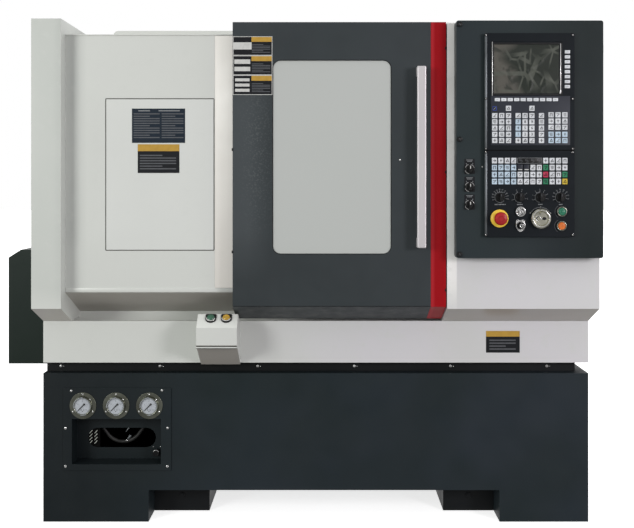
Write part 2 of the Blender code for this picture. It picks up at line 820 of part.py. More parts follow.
def build_centre_cover(machine):
    left = LEFT_COVER_RIGHT_EDGE + SEAT_GAP
    right = RIGHT_COVER_LEFT - SEAT_GAP
    cover = add_object("centre_cover", prism(recess_outline(), "X", left, right), white_paint(), machine)
    through = (left - CUT_OVERRUN, right + CUT_OVERRUN)
    cut(cover, prism(inset(recess_outline(), SHEET), "X", *through))
    cut(cover, cover_bottom_opening(*through))
    cut(
        cover,
        box(
            (left + DOORWAY_JAMB, right - DOORWAY_JAMB),
            (RECESS_FRONT - CUT_OVERRUN, RECESS_FRONT + SHEET + CUT_OVERRUN),
            (DOORWAY_BOTTOM, DOORWAY_TOP),
        ),
    )


def hinge_centre(height):
    return (HINGE_X, HINGE_Y, height)


def build_right_cover(machine):
    outline = overhang_outline(RIGHT_COVER_TOP)
    cover = add_object("right_cover", prism(outline, "X", RIGHT_COVER_LEFT, HALF), white_paint(), machine)
    cut(cover, prism(inset(outline, SHEET), "X", RIGHT_COVER_LEFT + SHEET, HALF - SHEET))
    cut(cover, prism(inset(recess_outline(), SHEET), "X", RIGHT_COVER_LEFT - CUT_OVERRUN, HALF - SHEET))
    cut(cover, cover_bottom_opening(RIGHT_COVER_LEFT - CUT_OVERRUN, HALF - SHEET))
    x = (CONTROL_LEFT + CONTROL_POCKET_INSET, CONTROL_RIGHT - CONTROL_POCKET_INSET)
    z = (CONTROL_BOTTOM + CONTROL_POCKET_INSET, CONTROL_TOP - CONTROL_POCKET_INSET)
    back = -OVERHANG + CONTROL_POCKET_DEPTH
    fuse(
        cover,
        box(
            (x[0] - CONTROL_SHEET, x[1] + CONTROL_SHEET),
            (-OVERHANG + SHEET / 2, back),
            (z[0] - CONTROL_SHEET, z[1] + CONTROL_SHEET),
        ),
    )
    cut(cover, box(x, (-OVERHANG - CUT_OVERRUN, back - CONTROL_SHEET), z))
    for height in HINGE_HEIGHTS:
        leaf = box(
            (HALF - FUSE_OVERLAP, HINGE_X + HINGE_LEAF / 2),
            (HINGE_Y, HINGE_Y + HINGE_LEAF_REACH),
            (height + HINGE_LEAF / 2, height + HINGE_BARREL - HINGE_LEAF / 2),
        )
        profile = [
            (0, 0), (HINGE_RADIUS, 0), (HINGE_RADIUS, HINGE_BARREL), (HINGE_PIN_RADIUS, HINGE_BARREL),
            (HINGE_PIN_RADIUS, HINGE_BARREL * 2), (0, HINGE_BARREL * 2),
        ]
        fuse(cover, leaf, turned(profile, SMALL, hinge_centre(height), (0, 0, 1)))


def door_outline():
    """The door's folded sheet seen from the side: hook on the rail, front wall, sloping bottom flange."""
    slope = OVERHANG_UNDERSIDE_RISE / OVERHANG
    front = -OVERHANG
    hook_y = RAIL_SETBACK + RAIL_WIDTH + SEAT_GAP
    end_z = APRON_TOP + DOOR_FLANGE_LIFT
    front_z = end_z + slope * (OVERHANG - DOOR_FLANGE_END)
    rise = DOOR_SHEET * math.sqrt(1 + slope * slope)
    inner_front_z = front_z - slope * DOOR_SHEET + rise
    return [
        (front, front_z), (front, DOOR_TOP), (hook_y + DOOR_SHEET, DOOR_TOP),
        (hook_y + DOOR_SHEET, DOOR_TOP - DOOR_SHEET - HOOK_DROP),
        (hook_y, DOOR_TOP - DOOR_SHEET - HOOK_DROP), (hook_y, DOOR_TOP - DOOR_SHEET),
        (front + DOOR_SHEET, DOOR_TOP - DOOR_SHEET), (front + DOOR_SHEET, inner_front_z),
        (-DOOR_FLANGE_END, end_z + rise), (-DOOR_FLANGE_END, end_z),
    ]


def window_outline(margin=0.0):
    x = (WINDOW_LEFT - margin, WINDOW_LEFT + WINDOW_WIDTH + margin)
    z = (WINDOW_BOTTOM - margin, WINDOW_BOTTOM + WINDOW_HEIGHT + margin)
    return rounded_rectangle(x, z, WINDOW_CORNER + margin)


def build_door(machine):
    split = DOOR_SPLIT - SEAT_GAP
    panel = add_object("door_panel", prism(door_outline(), "X", DOOR_LEFT, split), door_paint(), machine)
    cut(panel, prism(window_outline(), "Y", -OVERHANG - CUT_OVERRUN, -OVERHANG + CUT_OVERRUN))
    fold = box(
        (DOOR_LEFT, DOOR_LEFT + DOOR_SHEET),
        (-OVERHANG + DOOR_SHEET / 2, -OVERHANG + DOOR_FOLD_DEPTH),
        (RECESS_BOTTOM, DOOR_TOP - DOOR_SHEET / 2),
    )
    fuse(panel, fold)
    add_object(
        "door_edge_strip", prism(door_outline(), "X", DOOR_SPLIT, DOOR_RIGHT), red_paint(), machine
    )
    glass_front = -OVERHANG + DOOR_SHEET + SEAT_GAP
    glass = prism(window_outline(WINDOW_LAP), "Y", glass_front, glass_front + WINDOW_THICKNESS)
    add_object("door_window", glass, paint("window", (0.45, 0.47, 0.45), 0.12), machine)
    build_door_handle(machine)
    rail = box(
        (-HALF + POST_WIDTH + RAIL_END_CLEARANCE, RIGHT_COVER_LEFT - RAIL_END_CLEARANCE),
        (RAIL_SETBACK, RAIL_SETBACK + RAIL_WIDTH),
        (RECESS_TOP + SEAT_GAP, DOOR_TOP - DOOR_SHEET - SEAT_GAP),
    )
    add_object("door_rail", rail, machined_steel(), machine)


def build_door_handle(machine):
    x = (HANDLE_LEFT, HANDLE_LEFT + HANDLE_WIDTH)
    seat = -OVERHANG - SEAT_GAP
    foot = seat - HANDLE_STANDOFF
    front = foot - HANDLE_THICKNESS
    top = HANDLE_BOTTOM + HANDLE_HEIGHT
    low = HANDLE_BOTTOM + HANDLE_FOOT_HEIGHT
    high = top - HANDLE_FOOT_HEIGHT
    outline = [
        (seat, HANDLE_BOTTOM), (front, HANDLE_BOTTOM), (front, top), (seat, top),
        (seat, high), (foot, high), (foot, low), (seat, low),
    ]
    handle = add_object("door_handle", prism(outline, "X", *x), aluminium(), machine)
    bevel_edges(handle, HANDLE_EDGE_ROUND, 2)


def build_control_door(machine):
    x = (CONTROL_LEFT, CONTROL_RIGHT)
    y = (CONTROL_FRONT, -OVERHANG - SEAT_GAP)
    z = (CONTROL_BOTTOM, CONTROL_TOP)
    shell = prism(rounded_rectangle(x, z, CONTROL_EDGE_ROUND, 2), "Y", *y)
    door = add_object("control_door", shell, dark_paint(), machine)
    cut(
        door,
        box(
            (x[0] + CONTROL_SHEET, x[1] - CONTROL_SHEET),
            (y[0] + CONTROL_SHEET, y[1] + CUT_OVERRUN),
            (z[0] + CONTROL_SHEET, z[1] - CONTROL_SHEET),
        ),
    )
    for low, height in ((KEY_UNIT_BOTTOM, KEY_UNIT_HEIGHT), (SCREEN_UNIT_BOTTOM, SCREEN_UNIT_HEIGHT)):
        margin = UNIT_FLANGE - SEAT_GAP
        cut(
            door,
            box(
                (UNIT_LEFT + margin, UNIT_LEFT + UNIT_WIDTH - margin),
                (y[0] - CUT_OVERRUN, y[0] + CONTROL_SHEET + CUT_OVERRUN),
                (low + margin, low + height - margin),
            ),
        )
    lock_heights = (z[0] + LOCK_END_INSET, (z[0] + z[1]) / 2, z[1] - LOCK_END_INSET)
    for height in lock_heights:
        at = (x[0] + LOCK_INSET, y[0], height)
        fuse(door, disc(LOCK_RADIUS, SMALL, at, (0, -1, 0), -FUSE_OVERLAP, LOCK_PROUD))
    cut(door, joined([mode_switch_hole(number) for number in range(MODE_SWITCHES)]))
    for height in HINGE_HEIGHTS:
        low = height + HINGE_BARREL + SEAT_GAP
        high = height + HINGE_BARREL * 2
        leaf = box(
            (x[1] - CONTROL_SHEET / 2, HINGE_X),
            (HINGE_Y - HINGE_LEAF / 2, HINGE_Y + HINGE_LEAF / 2),
            (low + HINGE_LEAF / 2, high - HINGE_LEAF / 2),
        )
        barrel = disc(HINGE_RADIUS, SMALL, hinge_centre(0), (0, 0, 1), low, high)
        fuse(door, leaf, barrel)
        bore = hole_radius(HINGE_PIN_RADIUS, HINGE_PIN_CLEARANCE, SMALL)
        cut(door, disc(bore, SMALL, hinge_centre(0), (0, 0, 1), low - CUT_OVERRUN, high + CUT_OVERRUN))
    move_origin(door, hinge_centre(CONTROL_BOTTOM))


def build_unit_body(name, bottom, height, machine):
    """A control unit: a raised face frame with a smaller housing behind it."""
    face = prism(
        rounded_rectangle((UNIT_LEFT, UNIT_LEFT + UNIT_WIDTH), (bottom, bottom + height), UNIT_EDGE_ROUND, 2),
        "Y", UNIT_FRONT, CONTROL_FRONT - SEAT_GAP,
    )
    unit = add_object(name, face, black_plastic(), machine)
    fuse(
        unit,
        box(
            (UNIT_LEFT + UNIT_FLANGE, UNIT_LEFT + UNIT_WIDTH - UNIT_FLANGE),
            (UNIT_FRONT + UNIT_PROUD / 2, CONTROL_FRONT + UNIT_REAR_DEPTH),
            (bottom + UNIT_FLANGE, bottom + height - UNIT_FLANGE),
        ),
    )
    return unit


def key_cap(x, z, width, height):
    """A keycap with slightly sloping sides, rooted in the unit's face."""
    cap = box(
        (x - width / 2, x + width / 2), (UNIT_FRONT - KEY_PROUD, UNIT_FRONT + KEY_ROOT),
        (z - height / 2, z + height / 2),
    )
    centre = Vector((x, 0, z))
    for vert in cap.verts:
        if vert.co.y < UNIT_FRONT:
            outward = vert.co - centre
            vert.co.x -= math.copysign(KEY_TAPER, outward.x)
            vert.co.z -= math.copysign(KEY_TAPER, outward.z)
    return cap


def key_grid(left, bottom, columns, rows, pitch_x, pitch_z, width, height, skip=()):
    return [
        key_cap(left + column * pitch_x, bottom + row * pitch_z, width, height)
        for row in range(rows)
        for column in range(columns)
        if (column, row) not in skip
    ]


def build_screen_unit(machine):
    unit = build_unit_body("cnc_screen_unit", SCREEN_UNIT_BOTTOM, SCREEN_UNIT_HEIGHT, machine)
    left = UNIT_LEFT
    bottom = SCREEN_UNIT_BOTTOM
    screen_x = (left + SCREEN_LEFT, left + SCREEN_LEFT + SCREEN_WIDTH)
    screen_z = (bottom + SCREEN_BOTTOM, bottom + SCREEN_BOTTOM + SCREEN_HEIGHT)
    cut(
        unit,
        box(
            (screen_x[0] - BEZEL_MARGIN, screen_x[1] + BEZEL_MARGIN),
            (UNIT_FRONT - CUT_OVERRUN, UNIT_FRONT + BEZEL_DEPTH),
            (screen_z[0] - BEZEL_MARGIN, screen_z[1] + BEZEL_MARGIN),
        ),
    )
    cut(unit, box(screen_x, (UNIT_FRONT - CUT_OVERRUN, UNIT_FRONT + BEZEL_DEPTH + SCREEN_RECESS), screen_z))
    row = bottom + KEY_ROW_BOTTOM
    keys = key_grid(
        left + BOTTOM_SOFT_LEFT, bottom + BOTTOM_SOFT_Z, BOTTOM_SOFT_KEYS, 1,
        BOTTOM_SOFT_PITCH, 0, SOFT_KEY_WIDTH, SOFT_KEY_HEIGHT,
    )
    keys += key_grid(
        left + SIDE_SOFT_X, bottom + SIDE_SOFT_BOTTOM, 1, SIDE_SOFT_KEYS,
        0, SIDE_SOFT_PITCH, SOFT_KEY_WIDTH, SOFT_KEY_HEIGHT,
    )
    edit_upper = row + KEY_ROW_PITCH * 2 + EDIT_KEYS_RAISE
    # Each block of keys: its left side, its lowest row, its columns and its rows
    blocks = (
        (LETTER_KEYS_LEFT, row, 3, KEY_ROWS), (NUMBER_KEYS_LEFT, row, 3, KEY_ROWS),
        (CYCLE_KEYS_X, row, 1, KEY_ROWS),
        (EDIT_KEYS_LEFT, row, 3, 2), (EDIT_KEYS_LEFT, edit_upper, 3, KEY_ROWS - 2),
    )
    for block_left, block_row, columns, rows in blocks:
        keys += key_grid(
            left + block_left, block_row, columns, rows,
            KEY_COLUMN_PITCH, KEY_ROW_PITCH, KEY_SIZE, KEY_SIZE,
        )
    for block_left in (LETTER_KEYS_LEFT, NUMBER_KEYS_LEFT):
        keys += key_grid(
            left + block_left + KEY_COLUMN_PITCH * 2,
            row + KEY_ROW_PITCH * KEY_ROWS + EXTRA_KEY_RAISE, 1, 1,
            0, 0, KEY_SIZE, KEY_SIZE,
        )
    fuse(unit, joined(keys))
    seat = UNIT_FRONT + BEZEL_DEPTH + SCREEN_RECESS - SEAT_GAP
    screen = box(
        (screen_x[0] + SEAT_GAP, screen_x[1] - SEAT_GAP),
        (seat - SCREEN_THICKNESS, seat),
        (screen_z[0] + SEAT_GAP, screen_z[1] - SEAT_GAP),
    )
    add_object("cnc_display", screen, paint("screen_glass", (0.03, 0.035, 0.028), 0.10), machine)


def unit_place(x, z):
    """A place on the key unit's face, from its lower left corner."""
    return Vector((UNIT_LEFT + x, UNIT_FRONT, KEY_UNIT_BOTTOM + z))


OUTWARD = (0, -1, 0)
INWARD = (0, 1, 0)
PUSH_BUTTONS = (
    ("reset_button", SILVER_BUTTON_X, SILVER_BUTTON_Z, "steel_button", (0.55, 0.55, 0.56)),
    ("cycle_start_button", START_BUTTON_X, START_BUTTON_Z, "green_button", (0.02, 0.28, 0.12)),
    ("feed_hold_button", HOLD_BUTTON_X, HOLD_BUTTON_Z, "orange_button", (0.60, 0.16, 0.02)),
)


def button_boss(place, direction):
    """The fixed ring round a push button, before the hole for its cap is cut."""
    return disc(PUSH_BUTTON_RING_RADIUS, ROUND, place, direction, -FUSE_OVERLAP, PUSH_BUTTON_RING_HEIGHT)


def blind_hole(place, radius, clearance, steps, direction):
    bore = hole_radius(radius, clearance, steps)
    return disc(bore, steps, place, direction, -CUT_OVERRUN, CONTROL_HOLE_DEPTH)


def build_key_unit(machine):
    unit = build_unit_body("cnc_key_unit", KEY_UNIT_BOTTOM, KEY_UNIT_HEIGHT, machine)
    lamps = {(column, MACHINE_KEY_ROWS - 1) for column in LAMP_WINDOW_COLUMNS}
    keys = key_grid(
        UNIT_LEFT + MACHINE_KEY_LEFT, KEY_UNIT_BOTTOM + MACHINE_KEY_BOTTOM,
        MACHINE_KEY_COLUMNS, MACHINE_KEY_ROWS, MACHINE_KEY_PITCH, MACHINE_ROW_PITCH,
        MACHINE_KEY_WIDTH, MACHINE_KEY_HEIGHT, lamps,
    )
    fuse(unit, joined(keys))
    gap = CONTROL_SPIGOT_CLEARANCE
    holes = [
        blind_hole(unit_place(x, SELECTOR_Z), SELECTOR_SPIGOT_RADIUS, gap, TINY, INWARD)
        for x in SELECTOR_XS
    ]
    for x, z in ((KEY_SWITCH_X, KEY_SWITCH_Z), (HANDWHEEL_X, HANDWHEEL_Z)):
        holes.append(blind_hole(unit_place(x, z), SELECTOR_SPIGOT_RADIUS, gap, TINY, INWARD))
    holes.append(blind_hole(unit_place(ESTOP_X, ESTOP_Z), ESTOP_STEM_RADIUS, gap, SMALL, INWARD))
    for _, x, z, _, _ in PUSH_BUTTONS:
        holes.append(blind_hole(unit_place(x, z), PUSH_BUTTON_RADIUS, gap, ROUND, INWARD))
    fuse(unit, *[button_boss(unit_place(x, z), OUTWARD) for _, x, z, _, _ in PUSH_BUTTONS])
    cut(unit, joined(holes))


def build_push_button(name, place, direction, material, machine):
    """A domed cap in its ring, its origin where the cap leaves the face."""
    top = PUSH_BUTTON_RING_HEIGHT + PUSH_BUTTON_PROUD
    profile = [
        (0, -PUSH_BUTTON_STEM), (PUSH_BUTTON_RADIUS, -PUSH_BUTTON_STEM),
        (PUSH_BUTTON_RADIUS, top - SEAT_GAP * 4), (PUSH_BUTTON_RADIUS - SEAT_GAP * 4, top), (0, top),
    ]
    button = add_object(name, turned(profile, ROUND, place, direction), material, machine, smooth=True)
    move_origin(button, place)


def selector_knob(place, radius):
    """A round base with a raised finger grip and a spigot behind it."""
    grip = radius * 0.98
    base = turned(
        [
            (0, -SELECTOR_SPIGOT_LENGTH), (SELECTOR_SPIGOT_RADIUS, -SELECTOR_SPIGOT_LENGTH),
            (SELECTOR_SPIGOT_RADIUS, SEAT_GAP), (radius, SEAT_GAP),
            (radius, SELECTOR_BASE_HEIGHT), (radius * 0.8, SELECTOR_BASE_HEIGHT + KEY_PROUD),
            (0, SELECTOR_BASE_HEIGHT + KEY_PROUD),
        ],
        ROUND, place, OUTWARD,
    )
    wing = box(
        (place.x - SELECTOR_GRIP_WIDTH / 2, place.x + SELECTOR_GRIP_WIDTH / 2),
        (place.y - SELECTOR_BASE_HEIGHT - SELECTOR_GRIP_HEIGHT, place.y - SELECTOR_BASE_HEIGHT / 2),
        (place.z - grip * 0.8, place.z + grip * 0.8),
    )
    return base, wing


def build_selectors(machine):
    for number, x in enumerate(SELECTOR_XS, 1):
        place = unit_place(x, SELECTOR_Z)
        base, wing = selector_knob(place, SELECTOR_RADIUS)
        knob = add_object(f"feed_selector_{number}", base, black_plastic(), machine)
        fuse(knob, wing)
        move_origin(knob, place)


def mode_switch_place(number):
    return Vector((MODE_SWITCH_X, CONTROL_FRONT, MODE_SWITCH_TOP - number * MODE_SWITCH_PITCH))


def mode_switch_hole(number):
    return blind_hole(
        mode_switch_place(number), SELECTOR_SPIGOT_RADIUS, CONTROL_SPIGOT_CLEARANCE, TINY, INWARD
    )


def build_mode_switches(machine):
    for number in range(MODE_SWITCHES):
        place = mode_switch_place(number)
        base, wing = selector_knob(place, MODE_SWITCH_RADIUS)
        knob = add_object(f"mode_switch_{number + 1}", base, black_plastic(), machine)
        fuse(knob, wing)
        move_origin(knob, place)


def build_estop(machine):
    place = unit_place(ESTOP_X, ESTOP_Z)
    bore = hole_radius(ESTOP_STEM_RADIUS, CONTROL_SPIGOT_CLEARANCE, ROUND)
    collar = turned(
        [
            (bore, SEAT_GAP), (ESTOP_COLLAR_RADIUS, SEAT_GAP), (ESTOP_COLLAR_RADIUS, ESTOP_COLLAR_HEIGHT / 2),
            (ESTOP_HEAD_RADIUS, ESTOP_COLLAR_HEIGHT), (bore, ESTOP_COLLAR_HEIGHT),
        ],
        ROUND, place, OUTWARD,
    )
    add_object("estop_collar", collar, coloured_plastic("yellow_plastic", (0.75, 0.45, 0.02)), machine, True)
    head_top = ESTOP_STANDOFF + ESTOP_HEAD_HEIGHT
    head = turned(
        [
            (0, -ESTOP_STEM_LENGTH), (ESTOP_STEM_RADIUS, -ESTOP_STEM_LENGTH),
            (ESTOP_STEM_RADIUS, ESTOP_STANDOFF), (ESTOP_HEAD_RADIUS * 0.85, ESTOP_STANDOFF),
            (ESTOP_HEAD_RADIUS, ESTOP_STANDOFF + ESTOP_HEAD_HEIGHT * 0.35),
            (ESTOP_HEAD_RADIUS * 0.88, ESTOP_STANDOFF + ESTOP_HEAD_HEIGHT * 0.8),
            (ESTOP_HEAD_RADIUS * 0.5, head_top), (0, head_top),
        ],
        ROUND, place, OUTWARD,
    )
    red = coloured_plastic("red_plastic", (0.50, 0.01, 0.01))
    button = add_object("estop_button", head, red, machine, True)
    move_origin(button, place)


def build_key_switch(machine):
    place = unit_place(KEY_SWITCH_X, KEY_SWITCH_Z)
    barrel = turned(
        [
            (0, -SELECTOR_SPIGOT_LENGTH), (SELECTOR_SPIGOT_RADIUS, -SELECTOR_SPIGOT_LENGTH),
            (SELECTOR_SPIGOT_RADIUS, SEAT_GAP), (KEY_SWITCH_RADIUS, SEAT_GAP),
            (KEY_SWITCH_RADIUS, KEY_SWITCH_HEIGHT), (0, KEY_SWITCH_HEIGHT),
        ],
        ROUND, place, OUTWARD,
    )
    switch = add_object("key_switch", barrel, machined_steel(), machine)
    fuse(
        switch,
        box(
            (place.x - KEY_BLADE_THICKNESS / 2, place.x + KEY_BLADE_THICKNESS / 2),
            (place.y - KEY_SWITCH_HEIGHT - KEY_BOW_HEIGHT, place.y - KEY_SWITCH_HEIGHT / 2),
            (place.z - KEY_BOW_WIDTH / 2, place.z + KEY_BOW_WIDTH / 2),
        ),
    )
    move_origin(switch, place)


def build_handwheel(machine):
    place = unit_place(HANDWHEEL_X, HANDWHEEL_Z)
    wheel = add_object(
        "handwheel",
        turned(
            [
                (0, -SELECTOR_SPIGOT_LENGTH), (SELECTOR_SPIGOT_RADIUS, -SELECTOR_SPIGOT_LENGTH),
                (SELECTOR_SPIGOT_RADIUS, SEAT_GAP), (HANDWHEEL_RADIUS, SEAT_GAP),
                (HANDWHEEL_RADIUS, HANDWHEEL_HEIGHT * 0.85), (HANDWHEEL_RADIUS * 0.93, HANDWHEEL_HEIGHT),
                (HANDWHEEL_DISH_RADIUS, HANDWHEEL_HEIGHT),
                (HANDWHEEL_DISH_RADIUS * 0.9, HANDWHEEL_HEIGHT - HANDWHEEL_DISH),
                (0, HANDWHEEL_HEIGHT - HANDWHEEL_DISH),
            ],
            FINE, place, OUTWARD,
        ),
        machined_steel(), machine,
    )
    grip_at = place + Vector((0, 0, HANDWHEEL_GRIP_ORBIT))
    top = HANDWHEEL_HEIGHT - HANDWHEEL_DISH + HANDWHEEL_GRIP_HEIGHT
    fuse(wheel, disc(HANDWHEEL_GRIP_RADIUS, SMALL, grip_at, OUTWARD, HANDWHEEL_HEIGHT / 2, top))
    smooth_rounds(wheel)
    move_origin(wheel, place)


def box_button_place(side):
    """A button's place on the sloping top of the push button box, side -1 or +1."""
    slope_middle = Vector((
        BOX_LEFT + BOX_WIDTH / 2 + BOX_BUTTON_SHIFT + side * BOX_BUTTON_SPREAD,
        -(BOX_TOP_DEPTH + BOX_DEPTH) / 2,
        (BOX_TOP + BOX_SHOULDER) / 2,
    ))
    up_slope = Vector((0, BOX_DEPTH - BOX_TOP_DEPTH, BOX_TOP - BOX_SHOULDER)).normalized()
    return slope_middle + up_slope * BOX_BUTTON_RAISE


def box_slope_normal():
    return Vector((0, -(BOX_TOP - BOX_SHOULDER), BOX_DEPTH - BOX_TOP_DEPTH)).normalized()


def build_button_box(machine):
    outline = [
        (-SEAT_GAP, BOX_BACK_TOP), (-BOX_TOP_DEPTH, BOX_TOP), (-BOX_DEPTH, BOX_SHOULDER),
        (-BOX_DEPTH, BOX_FRONT_BOTTOM), (-SEAT_GAP, BOX_BACK_BOTTOM),
    ]
    right = BOX_LEFT + BOX_WIDTH
    housing = add_object("button_box", prism(outline, "X", BOX_LEFT, right), white_paint(), machine)
    flange_bottom = BOX_FRONT_BOTTOM - BOX_FLANGE_HEIGHT * 2
    flange = box(
        (BOX_LEFT, right),
        (-BOX_DEPTH - BOX_FLANGE_PROUD, -BOX_DEPTH + BOX_FLANGE_HEIGHT * 4),
        (flange_bottom, flange_bottom + BOX_FLANGE_HEIGHT),
    )
    fuse(housing, flange)
    normal = box_slope_normal()
    for side in (-1, 1):
        place = box_button_place(side)
        fuse(housing, button_boss(place, normal))
        cut(housing, blind_hole(place, PUSH_BUTTON_RADIUS, CONTROL_SPIGOT_CLEARANCE, ROUND, -normal))
    colours = (
        ("coolant_start_button", -1, "dark_green_button", (0.02, 0.12, 0.06)),
        ("coolant_stop_button", 1, "yellow_button", (0.48, 0.30, 0.02)),
    )
    for name, side, material_name, color in colours:
        material = coloured_plastic(material_name, color)
        build_push_button(name, box_button_place(side), normal, material, machine)


def build_push_buttons(machine):
    for name, x, z, material_name, color in PUSH_BUTTONS:
        material = coloured_plastic(material_name, color)
        build_push_button(name, unit_place(x, z), Vector(OUTWARD), material, machine)


def gauge_centres():
    return [Vector((GAUGE_FIRST_X + number * GAUGE_PITCH, 0, GAUGE_Z)) for number in range(3)]


def slot_outline():
    x = (SLOT_LEFT, SLOT_LEFT + SLOT_WIDTH)
    return rounded_rectangle(x, (SLOT_BOTTOM, SLOT_BOTTOM + SLOT_HEIGHT), SLOT_HEIGHT / 2 - SEAT_GAP)


def build_gauge_panel(machine):
    back = -SEAT_GAP
    plate = box(
        (PANEL_LEFT, PANEL_LEFT + PANEL_WIDTH), (back - PANEL_THICKNESS, back),
        (PANEL_BOTTOM, PANEL_BOTTOM + PANEL_HEIGHT),
    )
    panel = add_object("gauge_panel", plate, dark_paint(), machine)
    x = (POCKET_LEFT, POCKET_LEFT + POCKET_WIDTH)
    z = (POCKET_BOTTOM, POCKET_BOTTOM + POCKET_HEIGHT)
    fuse(
        panel,
        box(
            (x[0] - POCKET_SHEET, x[1] + POCKET_SHEET),
            (back - PANEL_THICKNESS / 2, POCKET_DEPTH + POCKET_SHEET),
            (z[0] - POCKET_SHEET, z[1] + POCKET_SHEET),
        ),
    )
    cut(panel, box(x, (back - PANEL_THICKNESS - CUT_OVERRUN, POCKET_DEPTH), z))
    cut(panel, prism(slot_outline(), "Y", POCKET_DEPTH - CUT_OVERRUN, POCKET_DEPTH + CUT_OVERRUN))
    bore = hole_radius(GAUGE_CAN_RADIUS, GAUGE_HOLE_CLEARANCE, ROUND)
    cut(panel, *[disc(bore, ROUND, at, INWARD, -CUT_OVERRUN, CUT_OVERRUN) for at in gauge_centres()])


def gauge_profile():
    """Half section of a flanged pressure gauge, from its rear port to its front rim."""
    seat = PANEL_THICKNESS + SEAT_GAP * 2
    rim = seat + GAUGE_FLANGE_THICKNESS + GAUGE_BEZEL_HEIGHT
    return [
        (0, -GAUGE_CAN_DEPTH - GAUGE_PORT_LENGTH), (GAUGE_PORT_RADIUS, -GAUGE_CAN_DEPTH - GAUGE_PORT_LENGTH),
        (GAUGE_PORT_RADIUS, -GAUGE_CAN_DEPTH), (GAUGE_CAN_RADIUS, -GAUGE_CAN_DEPTH),
        (GAUGE_CAN_RADIUS, seat), (GAUGE_FLANGE_RADIUS, seat),
        (GAUGE_FLANGE_RADIUS, seat + GAUGE_FLANGE_THICKNESS),
        (GAUGE_BEZEL_RADIUS, seat + GAUGE_FLANGE_THICKNESS),
        (GAUGE_BEZEL_RADIUS, rim), (GAUGE_DIAL_RADIUS, rim), (GAUGE_DIAL_RADIUS, rim - GAUGE_DIAL_RECESS),
        (0, rim - GAUGE_DIAL_RECESS),
    ]


def build_gauges(machine):
    dial = gauge_profile()[-1][1]
    for name, at in zip(("left", "middle", "right"), gauge_centres()):
        shape = turned(gauge_profile(), ROUND, at, OUTWARD)
        gauge = add_object(f"pressure_gauge_{name}", shape, machined_steel(), machine)
        needle = box(
            (-NEEDLE_LENGTH / 4, NEEDLE_LENGTH), (-dial - NEEDLE_THICKNESS, -dial + NEEDLE_THICKNESS),
            (-NEEDLE_WIDTH / 2, NEEDLE_WIDTH / 2),
        )
        turn = Matrix.Translation(at) @ Matrix.Rotation(-NEEDLE_ANGLE, 4, "Y")
        bmesh.ops.transform(needle, matrix=turn, verts=needle.verts)
        fuse(gauge, needle)
        smooth_rounds(gauge)


def build_gauge_hose(machine):
    """The hose that joins the outer gauges' ports and hangs behind the slot of the pocket."""
    left, _, right = gauge_centres()
    start_y = GAUGE_CAN_DEPTH + GAUGE_PORT_LENGTH + SEAT_GAP
    middle_x = (left.x + right.x) / 2
    half_span = (right.x - left.x) / 2
    route = [
        (left.x, start_y, GAUGE_Z),
        (left.x, start_y + HOSE_STRAIGHT / 2, GAUGE_Z),
        (left.x, start_y + HOSE_STRAIGHT, GAUGE_Z),
        (middle_x - half_span * 0.85, HOSE_REACH * 0.92, GAUGE_Z - (GAUGE_Z - HOSE_SAG_Z) * 0.35),
        (middle_x - half_span * 0.45, HOSE_REACH, HOSE_SAG_Z + (GAUGE_Z - HOSE_SAG_Z) * 0.14),
        (middle_x, HOSE_REACH, HOSE_SAG_Z),
        (middle_x + half_span * 0.45, HOSE_REACH, HOSE_SAG_Z + (GAUGE_Z - HOSE_SAG_Z) * 0.14),
        (middle_x + half_span * 0.85, HOSE_REACH * 0.92, GAUGE_Z - (GAUGE_Z - HOSE_SAG_Z) * 0.35),
        (right.x, start_y + HOSE_STRAIGHT, GAUGE_Z),
        (right.x, start_y + HOSE_STRAIGHT / 2, GAUGE_Z),
        (right.x, start_y, GAUGE_Z),
    ]
    curve = bpy.data.curves.new("gauge_hose", "CURVE")
    curve.dimensions = "3D"
    curve.bevel_depth = HOSE_RADIUS
    curve.bevel_resolution = 2
    curve.use_fill_caps = True
    points = smooth_route(route, 4)
    spline = curve.splines.new("POLY")
    spline.points.add(len(points) - 1)
    for point, place in zip(spline.points, points):
        point.co = (*place, 1)
    curve.materials.append(black_plastic())
    hose = bpy.data.objects.new("gauge_hose", curve)
    hose.parent = machine
    bpy.context.scene.collection.objects.link(hose)


def smooth_route(route, steps):
    """Points of a Catmull-Rom curve through the route's own points."""
    knots = [Vector(point) for point in route]
    knots = [knots[0] * 2 - knots[1]] + knots + [knots[-1] * 2 - knots[-2]]
    points = []
    for a, b, c, d in zip(knots, knots[1:], knots[2:], knots[3:]):
        for step in range(steps):
            t = step / steps
            bend = (a * 2 - b * 5 + c * 4 - d) * t ** 2
            twist = (b * 3 - a - c * 3 + d) * t ** 3
            points.append((b * 2 + (c - a) * t + bend + twist) / 2)
    points.append(knots[-2])
    return points


def build_regulator(machine):
    place = Vector((REGULATOR_X, POCKET_DEPTH, REGULATOR_Z))
    knob = turned(
        [
            (0, SEAT_GAP), (REGULATOR_RADIUS * 0.7, SEAT_GAP),
            (REGULATOR_RADIUS * 0.7, REGULATOR_HEIGHT / 3), (REGULATOR_RADIUS, REGULATOR_HEIGHT / 3),
            (REGULATOR_RADIUS, REGULATOR_HEIGHT), (0, REGULATOR_HEIGHT),
        ],
        SMALL, place, OUTWARD,
    )
    move_origin(add_object("regulator_knob", knob, black_plastic(), machine, True), place)


